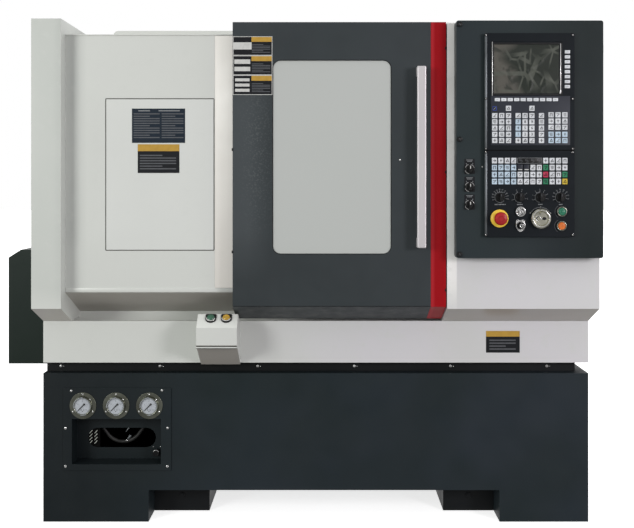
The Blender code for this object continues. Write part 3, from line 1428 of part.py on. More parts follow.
def build_cabinet(machine):
    x = (CABINET_LEFT, CABINET_LEFT + CABINET_WIDTH)
    z = (COVER_BOTTOM, CABINET_TOP)
    outline = [
        (x[1], z[0]), *arc((x[1] - CABINET_CORNER, z[1] - CABINET_CORNER), CABINET_CORNER, 0, math.pi / 2, 3),
        *arc((x[0] + CABINET_CORNER, z[1] - CABINET_CORNER), CABINET_CORNER, math.pi / 2, math.pi, 3),
        (x[0], z[0]),
    ]
    shape = prism(outline, "Y", CABINET_FRONT, CABINET_BACK)
    cabinet = add_object("rear_cabinet", shape, white_paint(), machine)
    cut(
        cabinet,
        box(
            (x[0] + CABINET_SHEET, x[1] - CABINET_SHEET),
            (CABINET_FRONT + CABINET_SHEET, CABINET_BACK - CABINET_SHEET),
            (z[0] + CABINET_SHEET, z[1] - CABINET_CORNER),
        ),
    )
    door_x = cabinet_door_range()
    door_z = (CABINET_DOOR_BOTTOM, CABINET_DOOR_BOTTOM + CABINET_DOOR_HEIGHT)
    cut(
        cabinet,
        box(
            (door_x[0] + CABINET_DOOR_LAP, door_x[1] - CABINET_DOOR_LAP),
            (CABINET_BACK - CABINET_SHEET - CUT_OVERRUN, CABINET_BACK + CUT_OVERRUN),
            (door_z[0] + CABINET_DOOR_LAP, door_z[1] - CABINET_DOOR_LAP),
        ),
    )
    blocks = []
    middle = (door_x[0] + door_x[1]) / 2
    for height in DRIVE_ROW_HEIGHTS:
        for number in range(DRIVE_BLOCKS):
            left = middle + (number - DRIVE_BLOCKS / 2) * DRIVE_BLOCK_PITCH
            block_y = (CABINET_FRONT + CABINET_SHEET / 2, CABINET_FRONT + DRIVE_BLOCK_DEPTH)
            block_z = (height, height + DRIVE_BLOCK_HEIGHT)
            blocks.append(box((left, left + DRIVE_BLOCK_WIDTH), block_y, block_z))
    fuse(cabinet, joined(blocks))
    door_y = (CABINET_BACK + SEAT_GAP, CABINET_BACK + SEAT_GAP + CABINET_DOOR_DEPTH)
    door = add_object("rear_cabinet_door", box(door_x, door_y, door_z), white_paint(), machine)
    inner = DOOR_SHEET
    cut(
        door,
        box(
            (door_x[0] + inner, door_x[1] - inner), (door_y[0] - CUT_OVERRUN, door_y[1] - inner),
            (door_z[0] + inner, door_z[1] - inner),
        ),
    )
    handle_x = door_x[0] + CABINET_HANDLE_WIDTH
    handle_z = (door_z[0] + door_z[1]) / 2
    fuse(
        door,
        box(
            (handle_x, handle_x + CABINET_HANDLE_WIDTH),
            (door_y[1] - inner / 2, door_y[1] + CABINET_HANDLE_PROUD - SEAT_GAP),
            (handle_z - CABINET_HANDLE_HEIGHT / 2, handle_z + CABINET_HANDLE_HEIGHT / 2),
        ),
    )
    move_origin(door, (door_x[1], door_y[1], door_z[0]))


def cabinet_door_range():
    right = CABINET_LEFT + CABINET_WIDTH - CABINET_DOOR_RIGHT_INSET
    return (right - CABINET_DOOR_WIDTH, right)


def build_guard(machine):
    right = -HALF - SEAT_GAP
    outline = [
        (GUARD_LEFT, GUARD_BOTTOM), (right, GUARD_BOTTOM), (right, GUARD_TOP),
        (GUARD_LEFT + GUARD_CHAMFER_X, GUARD_TOP), (GUARD_LEFT, GUARD_TOP - GUARD_CHAMFER_Z),
    ]
    y = (GUARD_FRONT, GUARD_FRONT + GUARD_DEPTH)
    guard = add_object("drive_guard", prism(outline, "Y", *y), guard_paint(), machine)
    cut(
        guard,
        box(
            (GUARD_LEFT + SHEET, right + CUT_OVERRUN), (y[0] + SHEET, y[1] - SHEET),
            (GUARD_BOTTOM + SHEET, GUARD_TOP - GUARD_CHAMFER_Z - SHEET),
        ),
    )


def slant_point(t, n):
    """A point in the slant bed's own frame: t up the slope from the spindle, n out of the way surface."""
    along = (math.cos(SLANT), math.sin(SLANT))
    outward = (-math.sin(SLANT), math.cos(SLANT))
    lift = n - AXIS_HEIGHT
    return (SPINDLE_Y + t * along[0] + lift * outward[0], SPINDLE_Z + t * along[1] + lift * outward[1])


def slant_outline(points):
    return [slant_point(t, n) for t, n in points]


def build_bed(machine):
    ways = [
        (WAY_LOW[0], 0), (WAY_LOW[0], WAY_RAISE), (WAY_LOW[1], WAY_RAISE), (WAY_LOW[1], 0),
        (WAY_HIGH[0], 0), (WAY_HIGH[0], WAY_RAISE), (WAY_HIGH[1], WAY_RAISE), (WAY_HIGH[1], 0),
        (BED_TOP_T, 0),
    ]
    top = slant_point(BED_TOP_T, 0)
    floor = COVER_BOTTOM
    outline = [
        (BED_FRONT, floor), (BED_FRONT, BED_NOSE_Z), *slant_outline(ways),
        (BED_BACK, top[1]), (BED_BACK, floor),
    ]
    bed = add_object("bed_casting", prism(outline, "X", BED_LEFT, BED_RIGHT), cast_iron(), machine)
    core = [
        (BED_FRONT + CORE_WALL, floor + CORE_WALL), (BED_FRONT + CORE_WALL, BED_NOSE_Z),
        (BED_BACK - CORE_WALL, top[1] - CORE_WALL * 2), (BED_BACK - CORE_WALL, floor + CORE_WALL),
    ]
    cut(bed, prism(core, "X", BED_LEFT - CUT_OVERRUN, BED_RIGHT + CUT_OVERRUN))


def spindle_point(x):
    return Vector((x, SPINDLE_Y, SPINDLE_Z))


def build_headstock(machine):
    side = HEADSTOCK_HALF
    crown = AXIS_HEIGHT + side
    foot = WAY_RAISE + SEAT_GAP
    outline = slant_outline([
        (WAY_LOW[0], foot), (WAY_HIGH[1], foot), (side, AXIS_HEIGHT - side / 2),
        (side, crown - HEADSTOCK_CORNER), (side - HEADSTOCK_CORNER, crown),
        (-side + HEADSTOCK_CORNER, crown), (-side, crown - HEADSTOCK_CORNER),
        (-side, AXIS_HEIGHT - side / 2),
    ])
    block = add_object(
        "headstock", prism(outline, "X", HEADSTOCK_LEFT, HEADSTOCK_RIGHT), cast_iron(), machine
    )
    bore = hole_radius(SPINDLE_RADIUS, SPINDLE_CLEARANCE, FINE)
    length = HEADSTOCK_LENGTH + CUT_OVERRUN
    cut(block, disc(bore, FINE, spindle_point(HEADSTOCK_LEFT), (1, 0, 0), -CUT_OVERRUN, length))


def build_spindle(machine):
    """Spindle shaft with its nose flange, belt pulley and rear clamping cylinder, bored right through."""
    rear = PULLEY_LEFT - CYLINDER_LENGTH
    nose = HEADSTOCK_RIGHT + SEAT_GAP
    end = CHUCK_LEFT - SEAT_GAP
    neck = SPINDLE_RADIUS * 0.8
    profile = [
        (SPINDLE_BORE, rear), (CYLINDER_RADIUS, rear), (CYLINDER_RADIUS, PULLEY_LEFT),
        (SPINDLE_PULLEY_RADIUS + PULLEY_LIP, PULLEY_LEFT),
        (SPINDLE_PULLEY_RADIUS + PULLEY_LIP, PULLEY_LEFT + BELT_MARGIN - SEAT_GAP),
        (SPINDLE_PULLEY_RADIUS, PULLEY_LEFT + BELT_MARGIN - SEAT_GAP), (SPINDLE_PULLEY_RADIUS, PULLEY_RIGHT),
        (neck, PULLEY_RIGHT), (neck, HEADSTOCK_LEFT - SEAT_GAP), (SPINDLE_RADIUS, HEADSTOCK_LEFT - SEAT_GAP),
        (SPINDLE_RADIUS, nose), (SPINDLE_NOSE_RADIUS, nose), (SPINDLE_NOSE_RADIUS, end), (SPINDLE_BORE, end),
    ]
    shape = turned(profile, FINE, spindle_point(0), (1, 0, 0))
    move_origin(add_object("spindle", shape, machined_steel(), machine, True), spindle_point(0))


def jaw_turn(number):
    """Turns a shape made above the spindle axis to the place of one of the jaws."""
    angle = number * math.tau / JAWS
    to_axis = Matrix.Translation(spindle_point(0))
    return to_axis @ Matrix.Rotation(angle, 4, "X") @ to_axis.inverted()


def placed(mesh, matrix):
    bmesh.ops.transform(mesh, matrix=matrix, verts=mesh.verts)
    return mesh


def build_chuck(machine):
    profile = [
        (SPINDLE_BORE, CHUCK_LEFT), (CHUCK_RADIUS, CHUCK_LEFT), (CHUCK_RADIUS, CHUCK_RIGHT - CHUCK_CHAMFER),
        (CHUCK_RADIUS - CHUCK_CHAMFER, CHUCK_RIGHT), (SPINDLE_BORE, CHUCK_RIGHT),
    ]
    chuck = add_object(
        "chuck", turned(profile, FINE, spindle_point(0), (1, 0, 0)), machined_steel(), machine
    )
    width = JAW_KEY_WIDTH / 2 + SEAT_GAP
    for number in range(JAWS):
        slot = box(
            (CHUCK_RIGHT - JAW_KEY_DEPTH - SEAT_GAP, CHUCK_RIGHT + CUT_OVERRUN),
            (SPINDLE_Y - width, SPINDLE_Y + width),
            (SPINDLE_Z + SPINDLE_BORE / 2, SPINDLE_Z + CHUCK_RADIUS + CUT_OVERRUN),
        )
        cut(chuck, placed(slot, jaw_turn(number)))
    smooth_rounds(chuck)
    move_origin(chuck, spindle_point(0))
    for number in range(JAWS):
        build_jaw(number, machine)


def build_jaw(number, machine):
    face = CHUCK_RIGHT + SEAT_GAP
    inner = SPINDLE_Z + JAW_INNER
    outline = [
        (face, inner), (face + JAW_HEIGHT, inner), (face + JAW_HEIGHT, inner + JAW_STEP),
        (face + JAW_HEIGHT / 2, inner + JAW_STEP), (face + JAW_HEIGHT / 2, inner + JAW_STEP * 2),
        (face + JAW_HEIGHT / 4, inner + JAW_STEP * 2), (face + JAW_HEIGHT / 4, inner + JAW_LENGTH),
        (face, inner + JAW_LENGTH),
    ]
    shape = prism(outline, "Y", SPINDLE_Y - JAW_WIDTH / 2, SPINDLE_Y + JAW_WIDTH / 2)
    jaw = add_object(f"chuck_jaw_{number + 1}", placed(shape, jaw_turn(number)), machined_steel(), machine)
    key = box(
        (CHUCK_RIGHT - JAW_KEY_DEPTH, face + FUSE_OVERLAP),
        (SPINDLE_Y - JAW_KEY_WIDTH / 2, SPINDLE_Y + JAW_KEY_WIDTH / 2),
        (inner + JAW_TRAVEL, inner + JAW_LENGTH - JAW_TRAVEL),
    )
    fuse(jaw, placed(key, jaw_turn(number)))


def motor_point(x):
    return Vector((x, MOTOR_Y, MOTOR_Z))


def build_motor(machine):
    face = -HALF - SEAT_GAP
    body_end = face - MOTOR_FLANGE_THICKNESS
    flange = box(
        (body_end, face), (MOTOR_Y - MOTOR_FLANGE_HALF, MOTOR_Y + MOTOR_FLANGE_HALF),
        (MOTOR_Z - MOTOR_FLANGE_HALF, MOTOR_Z + MOTOR_FLANGE_HALF),
    )
    motor = add_object("spindle_motor", flange, black_paint(), machine)
    fuse(motor, disc(MOTOR_RADIUS, FINE, motor_point(body_end), (-1, 0, 0), -FUSE_OVERLAP, MOTOR_LENGTH))
    bore = hole_radius(MOTOR_SHAFT_RADIUS, SPINDLE_CLEARANCE, SMALL)
    depth = MOTOR_FLANGE_THICKNESS + MOTOR_SHAFT_INSET + SEAT_GAP
    cut(motor, disc(bore, SMALL, motor_point(face), (-1, 0, 0), -CUT_OVERRUN, depth))
    start = body_end - MOTOR_SHAFT_INSET
    profile = [
        (0, start), (MOTOR_SHAFT_RADIUS, start), (MOTOR_SHAFT_RADIUS, PULLEY_LEFT),
        (MOTOR_PULLEY_RADIUS + PULLEY_LIP, PULLEY_LEFT),
        (MOTOR_PULLEY_RADIUS + PULLEY_LIP, PULLEY_LEFT + BELT_MARGIN - SEAT_GAP),
        (MOTOR_PULLEY_RADIUS, PULLEY_LEFT + BELT_MARGIN - SEAT_GAP), (MOTOR_PULLEY_RADIUS, PULLEY_RIGHT),
        (0, PULLEY_RIGHT),
    ]
    pulley = add_object(
        "motor_pulley", turned(profile, SMALL, motor_point(0), (1, 0, 0)), machined_steel(), machine, True
    )
    move_origin(pulley, motor_point(0))
    build_belt(machine)


def belt_loop(extra):
    """The outline of the belt round both pulleys, extra beyond their own radius, in side view."""
    across = Vector((SPINDLE_Y - MOTOR_Y, SPINDLE_Z - MOTOR_Z))
    heading = math.atan2(across.y, across.x)
    lean = math.acos((SPINDLE_PULLEY_RADIUS - MOTOR_PULLEY_RADIUS) / across.length)
    upper = arc((SPINDLE_Y, SPINDLE_Z), SPINDLE_PULLEY_RADIUS + extra, heading - lean, heading + lean, 10)
    lower = arc(
        (MOTOR_Y, MOTOR_Z), MOTOR_PULLEY_RADIUS + extra, heading + lean, heading + math.tau - lean, 8
    )
    return upper + lower


def build_belt(machine):
    x = (PULLEY_LEFT + BELT_MARGIN, PULLEY_RIGHT - BELT_MARGIN)
    belt = add_object(
        "drive_belt", prism(belt_loop(BELT_THICKNESS + BELT_MARGIN / 5), "X", *x), black_plastic(), machine
    )
    cut(belt, prism(belt_loop(BELT_MARGIN / 5), "X", x[0] - CUT_OVERRUN, x[1] + CUT_OVERRUN))


def build_saddle(machine):
    foot = WAY_RAISE + SEAT_GAP
    top = SADDLE_THICKNESS
    grip = WAY_LOW[0]
    outline = slant_outline([
        (grip, foot), (WAY_LOW[1] + SEAT_GAP, foot), (WAY_LOW[1] + SEAT_GAP, SEAT_GAP),
        (WAY_HIGH[0] - SEAT_GAP, SEAT_GAP), (WAY_HIGH[0] - SEAT_GAP, foot), (SADDLE_TOP_T, foot),
        (SADDLE_TOP_T, top), (grip, top),
    ])
    x = (SADDLE_LEFT, SADDLE_LEFT + SADDLE_LENGTH)
    add_object("saddle", prism(outline, "X", *x), cast_iron(), machine)
    build_turret(x, machine)


def build_turret(saddle_x, machine):
    low = SADDLE_THICKNESS + SEAT_GAP
    high = low + SLIDE_THICKNESS
    x = (saddle_x[1] - SLIDE_INSET - TURRET_HEAD_LENGTH, saddle_x[1] - SLIDE_INSET)
    plate = slant_outline([(SLIDE_LOW_T, low), (SLIDE_TOP_T, low), (SLIDE_TOP_T, high), (SLIDE_LOW_T, high)])
    slide = add_object("turret_slide", prism(plate, "X", *x), cast_iron(), machine)
    half = TURRET_HEAD_HALF
    crown = AXIS_HEIGHT + half
    chamfer = half / 3
    head = slant_outline([
        (TURRET_T - half, high - SHEET), (TURRET_T + half, high - SHEET),
        (TURRET_T + half, crown - chamfer), (TURRET_T + half - chamfer, crown),
        (TURRET_T - half + chamfer, crown), (TURRET_T - half, crown - chamfer),
    ])
    fuse(slide, prism(head, "X", *x))
    y, z = slant_point(TURRET_T, AXIS_HEIGHT)
    disc_right = x[0] - SEAT_GAP
    centre = Vector((disc_right - TURRET_DISC_THICKNESS, y, z))
    hub = disc(TURRET_DISC_RADIUS, TURRET_STATIONS * 2, centre, (1, 0, 0), 0, TURRET_DISC_THICKNESS)
    turret = add_object("turret_disc", hub, machined_steel(), machine)
    middle = centre.x + TURRET_DISC_THICKNESS / 2
    tools = []
    for station in range(TURRET_STATIONS):
        turn = Matrix.Translation(centre) @ Matrix.Rotation(
            math.tau * station / TURRET_STATIONS + SLANT, 4, "X"
        )
        tool = box(
            (middle - centre.x - TOOL_WIDTH / 2, middle - centre.x + TOOL_WIDTH / 2),
            (-TOOL_HEIGHT / 2, TOOL_HEIGHT / 2), (TURRET_DISC_RADIUS * 0.75, TOOL_REACH),
        )
        tools.append(placed(tool, turn))
    fuse(turret, joined(tools))
    move_origin(turret, centre)


def build_tailstock(machine):
    side = TAILSTOCK_HALF
    crown = AXIS_HEIGHT + side
    foot = WAY_RAISE + SEAT_GAP
    corner = side / 2
    outline = slant_outline([
        (WAY_LOW[0], foot), (WAY_HIGH[0], foot), (side, AXIS_HEIGHT - side), (side, crown - corner),
        (side - corner, crown), (-side + corner, crown), (-side, crown - corner), (-side, AXIS_HEIGHT - side),
        (WAY_LOW[0], SADDLE_THICKNESS),
    ])
    x = (TAILSTOCK_LEFT, TAILSTOCK_LEFT + TAILSTOCK_LENGTH)
    body = add_object("tailstock", prism(outline, "X", *x), cast_iron(), machine)
    bore = hole_radius(QUILL_RADIUS, SPINDLE_CLEARANCE, ROUND)
    cut(body, disc(bore, ROUND, spindle_point(x[0]), (1, 0, 0), -CUT_OVERRUN, QUILL_SOCKET))
    inner_end = x[0] + QUILL_SOCKET - SEAT_GAP
    nose = x[0] - QUILL_PROUD
    profile = [
        (0, inner_end), (QUILL_RADIUS, inner_end), (QUILL_RADIUS, nose), (CENTRE_RADIUS, nose),
        (CENTRE_RADIUS, nose - CENTRE_LENGTH / 2), (0, nose - CENTRE_LENGTH),
    ]
    shape = turned(profile, ROUND, spindle_point(0), (1, 0, 0))
    add_object("tailstock_quill", shape, machined_steel(), machine, True)


def build_gutter(machine):
    """The folded chip gutter between the front cover and the foot of the bed."""
    back = BED_FRONT - SEAT_GAP
    front = TROUGH_BACK + SHEET + SEAT_GAP
    outline = [
        (front, GUTTER_TOP), (front, GUTTER_BOTTOM + GUTTER_SHEET), (back, GUTTER_BOTTOM),
        (back, GUTTER_BOTTOM + GUTTER_SHEET), (front + GUTTER_SHEET, GUTTER_BOTTOM + GUTTER_SHEET * 2),
        (front + GUTTER_SHEET, GUTTER_TOP),
    ]
    add_object("chip_gutter", prism(outline, "X", GUTTER_LEFT, GUTTER_RIGHT), machined_steel(), machine)


def main():
    clear_scene()
    machine = bpy.data.objects.new("machine", None)
    bpy.context.scene.collection.objects.link(machine)
    machine.location = (ORIGIN_SHIFT_X, ORIGIN_SHIFT_Y, 0)
    build_stand(machine)
    build_feet(machine)
    build_plinth(machine)
    build_apron(machine)
    build_left_cover(machine)
    build_centre_cover(machine)
    build_right_cover(machine)
    build_door(machine)
    build_control_door(machine)
    build_screen_unit(machine)
    build_key_unit(machine)
    build_selectors(machine)
    build_mode_switches(machine)
    build_estop(machine)
    build_key_switch(machine)
    build_handwheel(machine)
    build_push_buttons(machine)
    build_button_box(machine)
    build_gauge_panel(machine)
    build_gauges(machine)
    build_gauge_hose(machine)
    build_regulator(machine)
    build_cabinet(machine)
    build_guard(machine)
    build_bed(machine)
    build_headstock(machine)
    build_spindle(machine)
    build_chuck(machine)
    build_motor(machine)
    build_saddle(machine)
    build_tailstock(machine)
    build_gutter(machine)


main()
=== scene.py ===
"""Looks of the compact turning lathe: finishes, fittings, plates, keys, gauges and the photograph's camera.

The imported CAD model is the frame. Places are metres from the middle of the stand's front, see at().
"""

import json
import math

import bmesh
import bpy
from mathutils import Matrix, Vector

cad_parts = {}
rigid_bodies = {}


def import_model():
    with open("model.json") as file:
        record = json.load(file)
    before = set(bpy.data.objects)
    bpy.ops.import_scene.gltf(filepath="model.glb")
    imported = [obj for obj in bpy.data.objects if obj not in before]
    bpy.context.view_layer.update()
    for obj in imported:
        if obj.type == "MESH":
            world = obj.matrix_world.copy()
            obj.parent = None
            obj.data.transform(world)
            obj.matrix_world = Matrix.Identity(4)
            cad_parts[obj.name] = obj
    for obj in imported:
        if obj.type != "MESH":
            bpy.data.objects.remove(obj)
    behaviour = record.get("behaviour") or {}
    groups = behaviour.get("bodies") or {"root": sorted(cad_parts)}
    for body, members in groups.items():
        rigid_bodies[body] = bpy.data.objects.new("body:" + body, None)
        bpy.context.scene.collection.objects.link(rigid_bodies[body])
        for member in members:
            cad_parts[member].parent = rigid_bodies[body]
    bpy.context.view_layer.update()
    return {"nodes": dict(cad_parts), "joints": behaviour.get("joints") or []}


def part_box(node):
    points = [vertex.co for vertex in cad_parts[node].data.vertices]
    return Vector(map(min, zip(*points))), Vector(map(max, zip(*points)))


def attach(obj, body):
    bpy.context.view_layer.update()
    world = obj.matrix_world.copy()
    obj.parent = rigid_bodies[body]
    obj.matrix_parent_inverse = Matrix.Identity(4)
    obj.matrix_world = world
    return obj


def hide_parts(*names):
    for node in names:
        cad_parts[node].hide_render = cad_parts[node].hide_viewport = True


for leftover in list(bpy.data.objects):
    bpy.data.objects.remove(leftover)

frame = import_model()

STAND_LOW, STAND_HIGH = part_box("base_stand")
MIDDLE_X = (STAND_LOW.x + STAND_HIGH.x) / 2
FRONT_Y = STAND_LOW.y

OUT = Vector((0, -1, 0))
BACK = Vector((0, 1, 0))
UP = Vector((0, 0, 1))

# How far thin pieces stand off what carries them
SKIN = 0.0002
PLATE = 0.0008

# Front planes of what carries the fittings, from the stand's front
DOOR_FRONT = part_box("door_panel")[0].y - FRONT_Y
RECESS_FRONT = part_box("access_cover")[0].y - FRONT_Y
PANEL_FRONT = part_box("control_door")[0].y - FRONT_Y + 0.004
UNIT_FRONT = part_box("cnc_key_unit")[0].y - FRONT_Y + 0.006
GAUGE_PANEL_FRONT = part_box("gauge_panel")[0].y - FRONT_Y
PLINTH_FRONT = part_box("plinth")[0].y - FRONT_Y
APRON_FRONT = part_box("apron")[0].y - FRONT_Y


def at(x, y, z):
    """A point given from the middle of the stand's front edge, at floor height."""
    return Vector((MIDDLE_X + x, FRONT_Y + y, z))


# Materials


class Finish:
    """A Principled material whose colour, roughness and relief come from noise in the object's own space."""

    def __init__(self, name, color, roughness, metallic=0.0):
        self.material = bpy.data.materials.new(name)
        self.material.use_nodes = True
        self.tree = self.material.node_tree
        self.shader = self.tree.nodes["Principled BSDF"]
        self.set("Base Color", (*color, 1))
        self.set("Roughness", roughness)
        self.set("Metallic", metallic)
        self.color = color
        self.roughness = roughness
        self.place = self.tree.nodes.new("ShaderNodeTexCoord").outputs["Object"]
        self.color_out = None
        self.normal_out = None

    def set(self, name, value):
        self.shader.inputs[name].default_value = value
        return self

    def node(self, kind, inputs=None, **settings):
        made = self.tree.nodes.new(kind)
        for key, value in settings.items():
            setattr(made, key, value)
        for key, value in (inputs or {}).items():
            if isinstance(value, bpy.types.NodeSocket):
                self.tree.links.new(value, made.inputs[key])
            else:
                made.inputs[key].default_value = value
        return made

    def noise(self, scale, detail=3.0, roughness=0.55, stretch=None, distortion=0.0):
        where = self.place
        if stretch:
            where = self.node("ShaderNodeMapping", {"Vector": self.place, "Scale": stretch}).outputs["Vector"]
        inputs = {"Vector": where, "Scale": scale, "Detail": detail, "Roughness": roughness}
        inputs["Distortion"] = distortion
        return self.node("ShaderNodeTexNoise", inputs).outputs["Fac"]

    def ranged(self, value, low, high, to_low=0.0, to_high=1.0):
        inputs = {"Value": value, "From Min": low, "From Max": high, "To Min": to_low, "To Max": to_high}
        return self.node("ShaderNodeMapRange", inputs).outputs["Result"]

    def times(self, first, *others):
        for other in others:
            first = self.node("ShaderNodeMath", {0: first, 1: other}, operation="MULTIPLY").outputs["Value"]
        return first

    def along(self, axis, start, end, share=1.0):
        """Rises from 0 at start to the share at end along an axis."""
        value = self.node("ShaderNodeSeparateXYZ", {"Vector": self.place}).outputs[axis]
        return self.ranged(value, start, end, 0.0, share)

    def within(self, axis, low, high, soft):
        """1 between two places along an axis, fading to 0 over a soft margin on both sides."""
        value = self.node("ShaderNodeSeparateXYZ", {"Vector": self.place}).outputs[axis]
        rise = self.ranged(value, low - soft, low + soft)
        fall = self.ranged(value, high + soft, high - soft)
        return self.times(rise, fall)

    def sloping(self, start, end, share):
        """Rises from 0 to the share as a face's normal turns from one height to the other."""
        normal = self.node("ShaderNodeNewGeometry").outputs["Normal"]
        height = self.node("ShaderNodeSeparateXYZ", {"Vector": normal}).outputs["Z"]
        return self.ranged(height, start, end, 0.0, share)

    def blend_color(self, mask, color):
        """Lays another colour over the one so far where the mask is 1."""
        below = self.color_out or (*self.color, 1)
        mix = self.node("ShaderNodeMix", data_type="RGBA")
        for index, value in ((0, mask), (6, below), (7, (*color, 1))):
            if isinstance(value, bpy.types.NodeSocket):
                self.tree.links.new(value, mix.inputs[index])
            else:
                mix.inputs[index].default_value = value
        self.color_out = mix.outputs[2]
        self.tree.links.new(self.color_out, self.shader.inputs["Base Color"])
        return self

    def tint(self, scale, color, share=1.0, detail=2.0, low=0.40, high=0.62, stretch=None):
        """Slow drifts of colour over the surface."""
        mask = self.ranged(self.noise(scale, detail, stretch=stretch), low, high, 0.0, share)
        return self.blend_color(mask, color)

    def vary_roughness(self, scale, spread, detail=3.0, stretch=None):
        pattern = self.noise(scale, detail, stretch=stretch)
        value = self.ranged(pattern, 0.3, 0.7, self.roughness - spread, self.roughness + spread)
        self.tree.links.new(value, self.shader.inputs["Roughness"])
        return self

    def soft_edges(self, radius=0.0012):
        """Rounds the normals along sharp edges, as folded and painted sheet is."""
        self.normal_out = self.node("ShaderNodeBevel", {"Radius": radius}, samples=4).outputs["Normal"]
        self.tree.links.new(self.normal_out, self.shader.inputs["Normal"])
        return self

    def worn_edges(self, radius, color, share=0.6, grain=90.0):
        """Paint rubbed thin along sharp edges, broken up by noise."""
        rounded = self.node("ShaderNodeBevel", {"Radius": radius}, samples=4).outputs["Normal"]
        flat = self.node("ShaderNodeNewGeometry").outputs["Normal"]
        same = self.node("ShaderNodeVectorMath", {0: rounded, 1: flat}, operation="DOT_PRODUCT")
        edge = self.ranged(same.outputs["Value"], 0.97, 0.80)
        broken = self.ranged(self.noise(grain, 4.0), 0.45, 0.65, 0.0, share)
        return self.blend_color(self.times(edge, broken), color)

    def relief(self, scale, height, detail=2.0, roughness=0.5, stretch=None, distortion=0.0):
        """Bump from noise, its height in metres."""
        inputs = {
            "Height": self.noise(scale, detail, roughness, stretch, distortion),
            "Distance": height, "Strength": 1.0,
        }
        if self.normal_out:
            inputs["Normal"] = self.normal_out
        self.normal_out = self.node("ShaderNodeBump", inputs).outputs["Normal"]
        self.tree.links.new(self.normal_out, self.shader.inputs["Normal"])
        return self

    def specks(self, scale, color, share=0.5, low=0.60, high=0.72):
        """Fine grains of another colour."""
        return self.blend_color(self.ranged(self.noise(scale, 1.0), low, high, 0.0, share), color)

    def coat(self, weight, roughness):
        return self.set("Coat Weight", weight).set("Coat Roughness", roughness)


def brighter(color, times):
    return tuple(min(1, part * times) for part in color)


# The heights of a face's normal between which it comes to count as an underside, given painted shade, and as an
# upper side, given painted light
PAINTED_SHADE_UNDERSIDE = (-0.15, -0.60)
PAINTED_LIGHT_UPPER_SIDE = (0.25, 0.65)
# The heights between which a cover's patches of painted light and shade lie
PATCH_RISE = (0.72, 1.62)


def white_paint(name="white_paint", color=(0.665, 0.680, 0.645), patches=()):
    """Semi-gloss enamel with orange peel; cool and warm drifts, painted shade making undersides brown-grey and
    painted light making upper sides brighter.

    Each patch is an upright strip of painted light or shade, with a share of another colour: its two edges from
    the machine's middle, how soft they are, the share and the colour.
    """
    finish = Finish(name, color, 0.36)
    finish.soft_edges(0.0016)
    pinker = (color[0] * 1.01, color[1] * 0.965, color[2] * 1.06)
    finish.blend_color(finish.along("X", MIDDLE_X - 0.35, MIDDLE_X + 0.15, 0.9), pinker)
    # Patches of painted light and shade
    for left, right, soft, share, shade in patches:
        strip = finish.within("X", MIDDLE_X + left, MIDDLE_X + right, soft)
        finish.blend_color(finish.times(finish.within("Z", *PATCH_RISE, 0.04), strip, share), shade)
    finish.tint(3.1, brighter(color, 0.93), 0.45)
    finish.specks(900.0, brighter(color, 0.8), 0.2)
    finish.tint(36.0, brighter(color, 0.94), 0.35, 5.0, 0.55, 0.75)
    finish.worn_edges(0.0022, brighter(color, 0.78), 0.3)
    # Painted shade: faces turned downwards darken to a brownish grey.
    finish.blend_color(finish.sloping(*PAINTED_SHADE_UNDERSIDE, 0.75), (0.37, 0.330, 0.290))
    # Painted light: faces turned upwards are made brighter.
    finish.blend_color(finish.sloping(*PAINTED_LIGHT_UPPER_SIDE, 0.6), brighter(color, 1.25))
    finish.vary_roughness(6.0, 0.06)
    finish.relief(240.0, 0.00005, 2.0)
    return finish.coat(0.15, 0.22).material


def dark_paint(name, color, cool, warm, specular=0.25, side=None):
    """Fine textured machine paint, almost black, with a soft sheen; side is a darker end and where it lies."""
    finish = Finish(name, color, 0.46)
    finish.soft_edges(0.0014)
    finish.tint(1.1, cool, 0.9)
    finish.tint(3.4, warm, 0.45)
    if side:
        start, end, shade = side
        finish.blend_color(finish.along("X", MIDDLE_X + start, MIDDLE_X + end, 0.85), shade)
    finish.specks(700.0, brighter(color, 2.2), 0.28)
    finish.worn_edges(0.0018, brighter(color, 3.0), 0.5)
    finish.vary_roughness(9.0, 0.08)
    finish.relief(420.0, 0.00008, 2.0)
    return finish.set("Specular IOR Level", specular).material


def door_paint():
    """Textured dark grey paint; pale dust sits in its grain beside the window, where hands push the door."""
    color = (0.0335, 0.0415, 0.0450)
    finish = Finish("door_paint", color, 0.48)
    finish.soft_edges(0.0014)
    finish.tint(1.2, (0.045, 0.054, 0.060), 0.8)
    finish.tint(5.0, (0.027, 0.033, 0.036), 0.4)
    beside = finish.times(
        finish.within("X", MIDDLE_X - 0.215, MIDDLE_X - 0.145, 0.030),
        finish.within("Z", 0.98, 1.38, 0.10),
    )
    left = finish.within("X", MIDDLE_X - 0.300, MIDDLE_X - 0.170, 0.035)
    worn = finish.within("Z", 0.86, 1.40, 0.08)
    finish.blend_color(finish.times(left, worn, 0.75), (0.066, 0.076, 0.082))
    grain = finish.ranged(finish.noise(200.0, 2.0), 0.52, 0.66, 0.0, 0.35)
    finish.blend_color(finish.times(beside, grain), (0.135, 0.150, 0.150))
    finish.worn_edges(0.0016, (0.14, 0.15, 0.15), 0.4)
    finish.vary_roughness(30.0, 0.08)
    finish.relief(320.0, 0.00010, 2.0)
    return finish.set("Specular IOR Level", 0.28).material


def red_paint():
    """Red enamel, with a painted highlight along its left side where the fold catches the light."""
    finish = Finish("red_paint", (0.330, 0.0025, 0.0070), 0.42)
    finish.soft_edges(0.0014)
    finish.tint(2.0, (0.290, 0.0022, 0.0060), 0.7)
    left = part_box("door_edge_strip")[0].x
    # Painted highlight along the strip's left side
    finish.blend_color(finish.within("X", left, left + 0.010, 0.004), (0.42, 0.018, 0.026))
    finish.specks(600.0, (0.40, 0.02, 0.03), 0.25)
    finish.worn_edges(0.0016, (0.42, 0.05, 0.06), 0.4)
    finish.vary_roughness(12.0, 0.07)
    finish.relief(300.0, 0.00005, 2.0)
    return finish.set("Specular IOR Level", 0.14).material


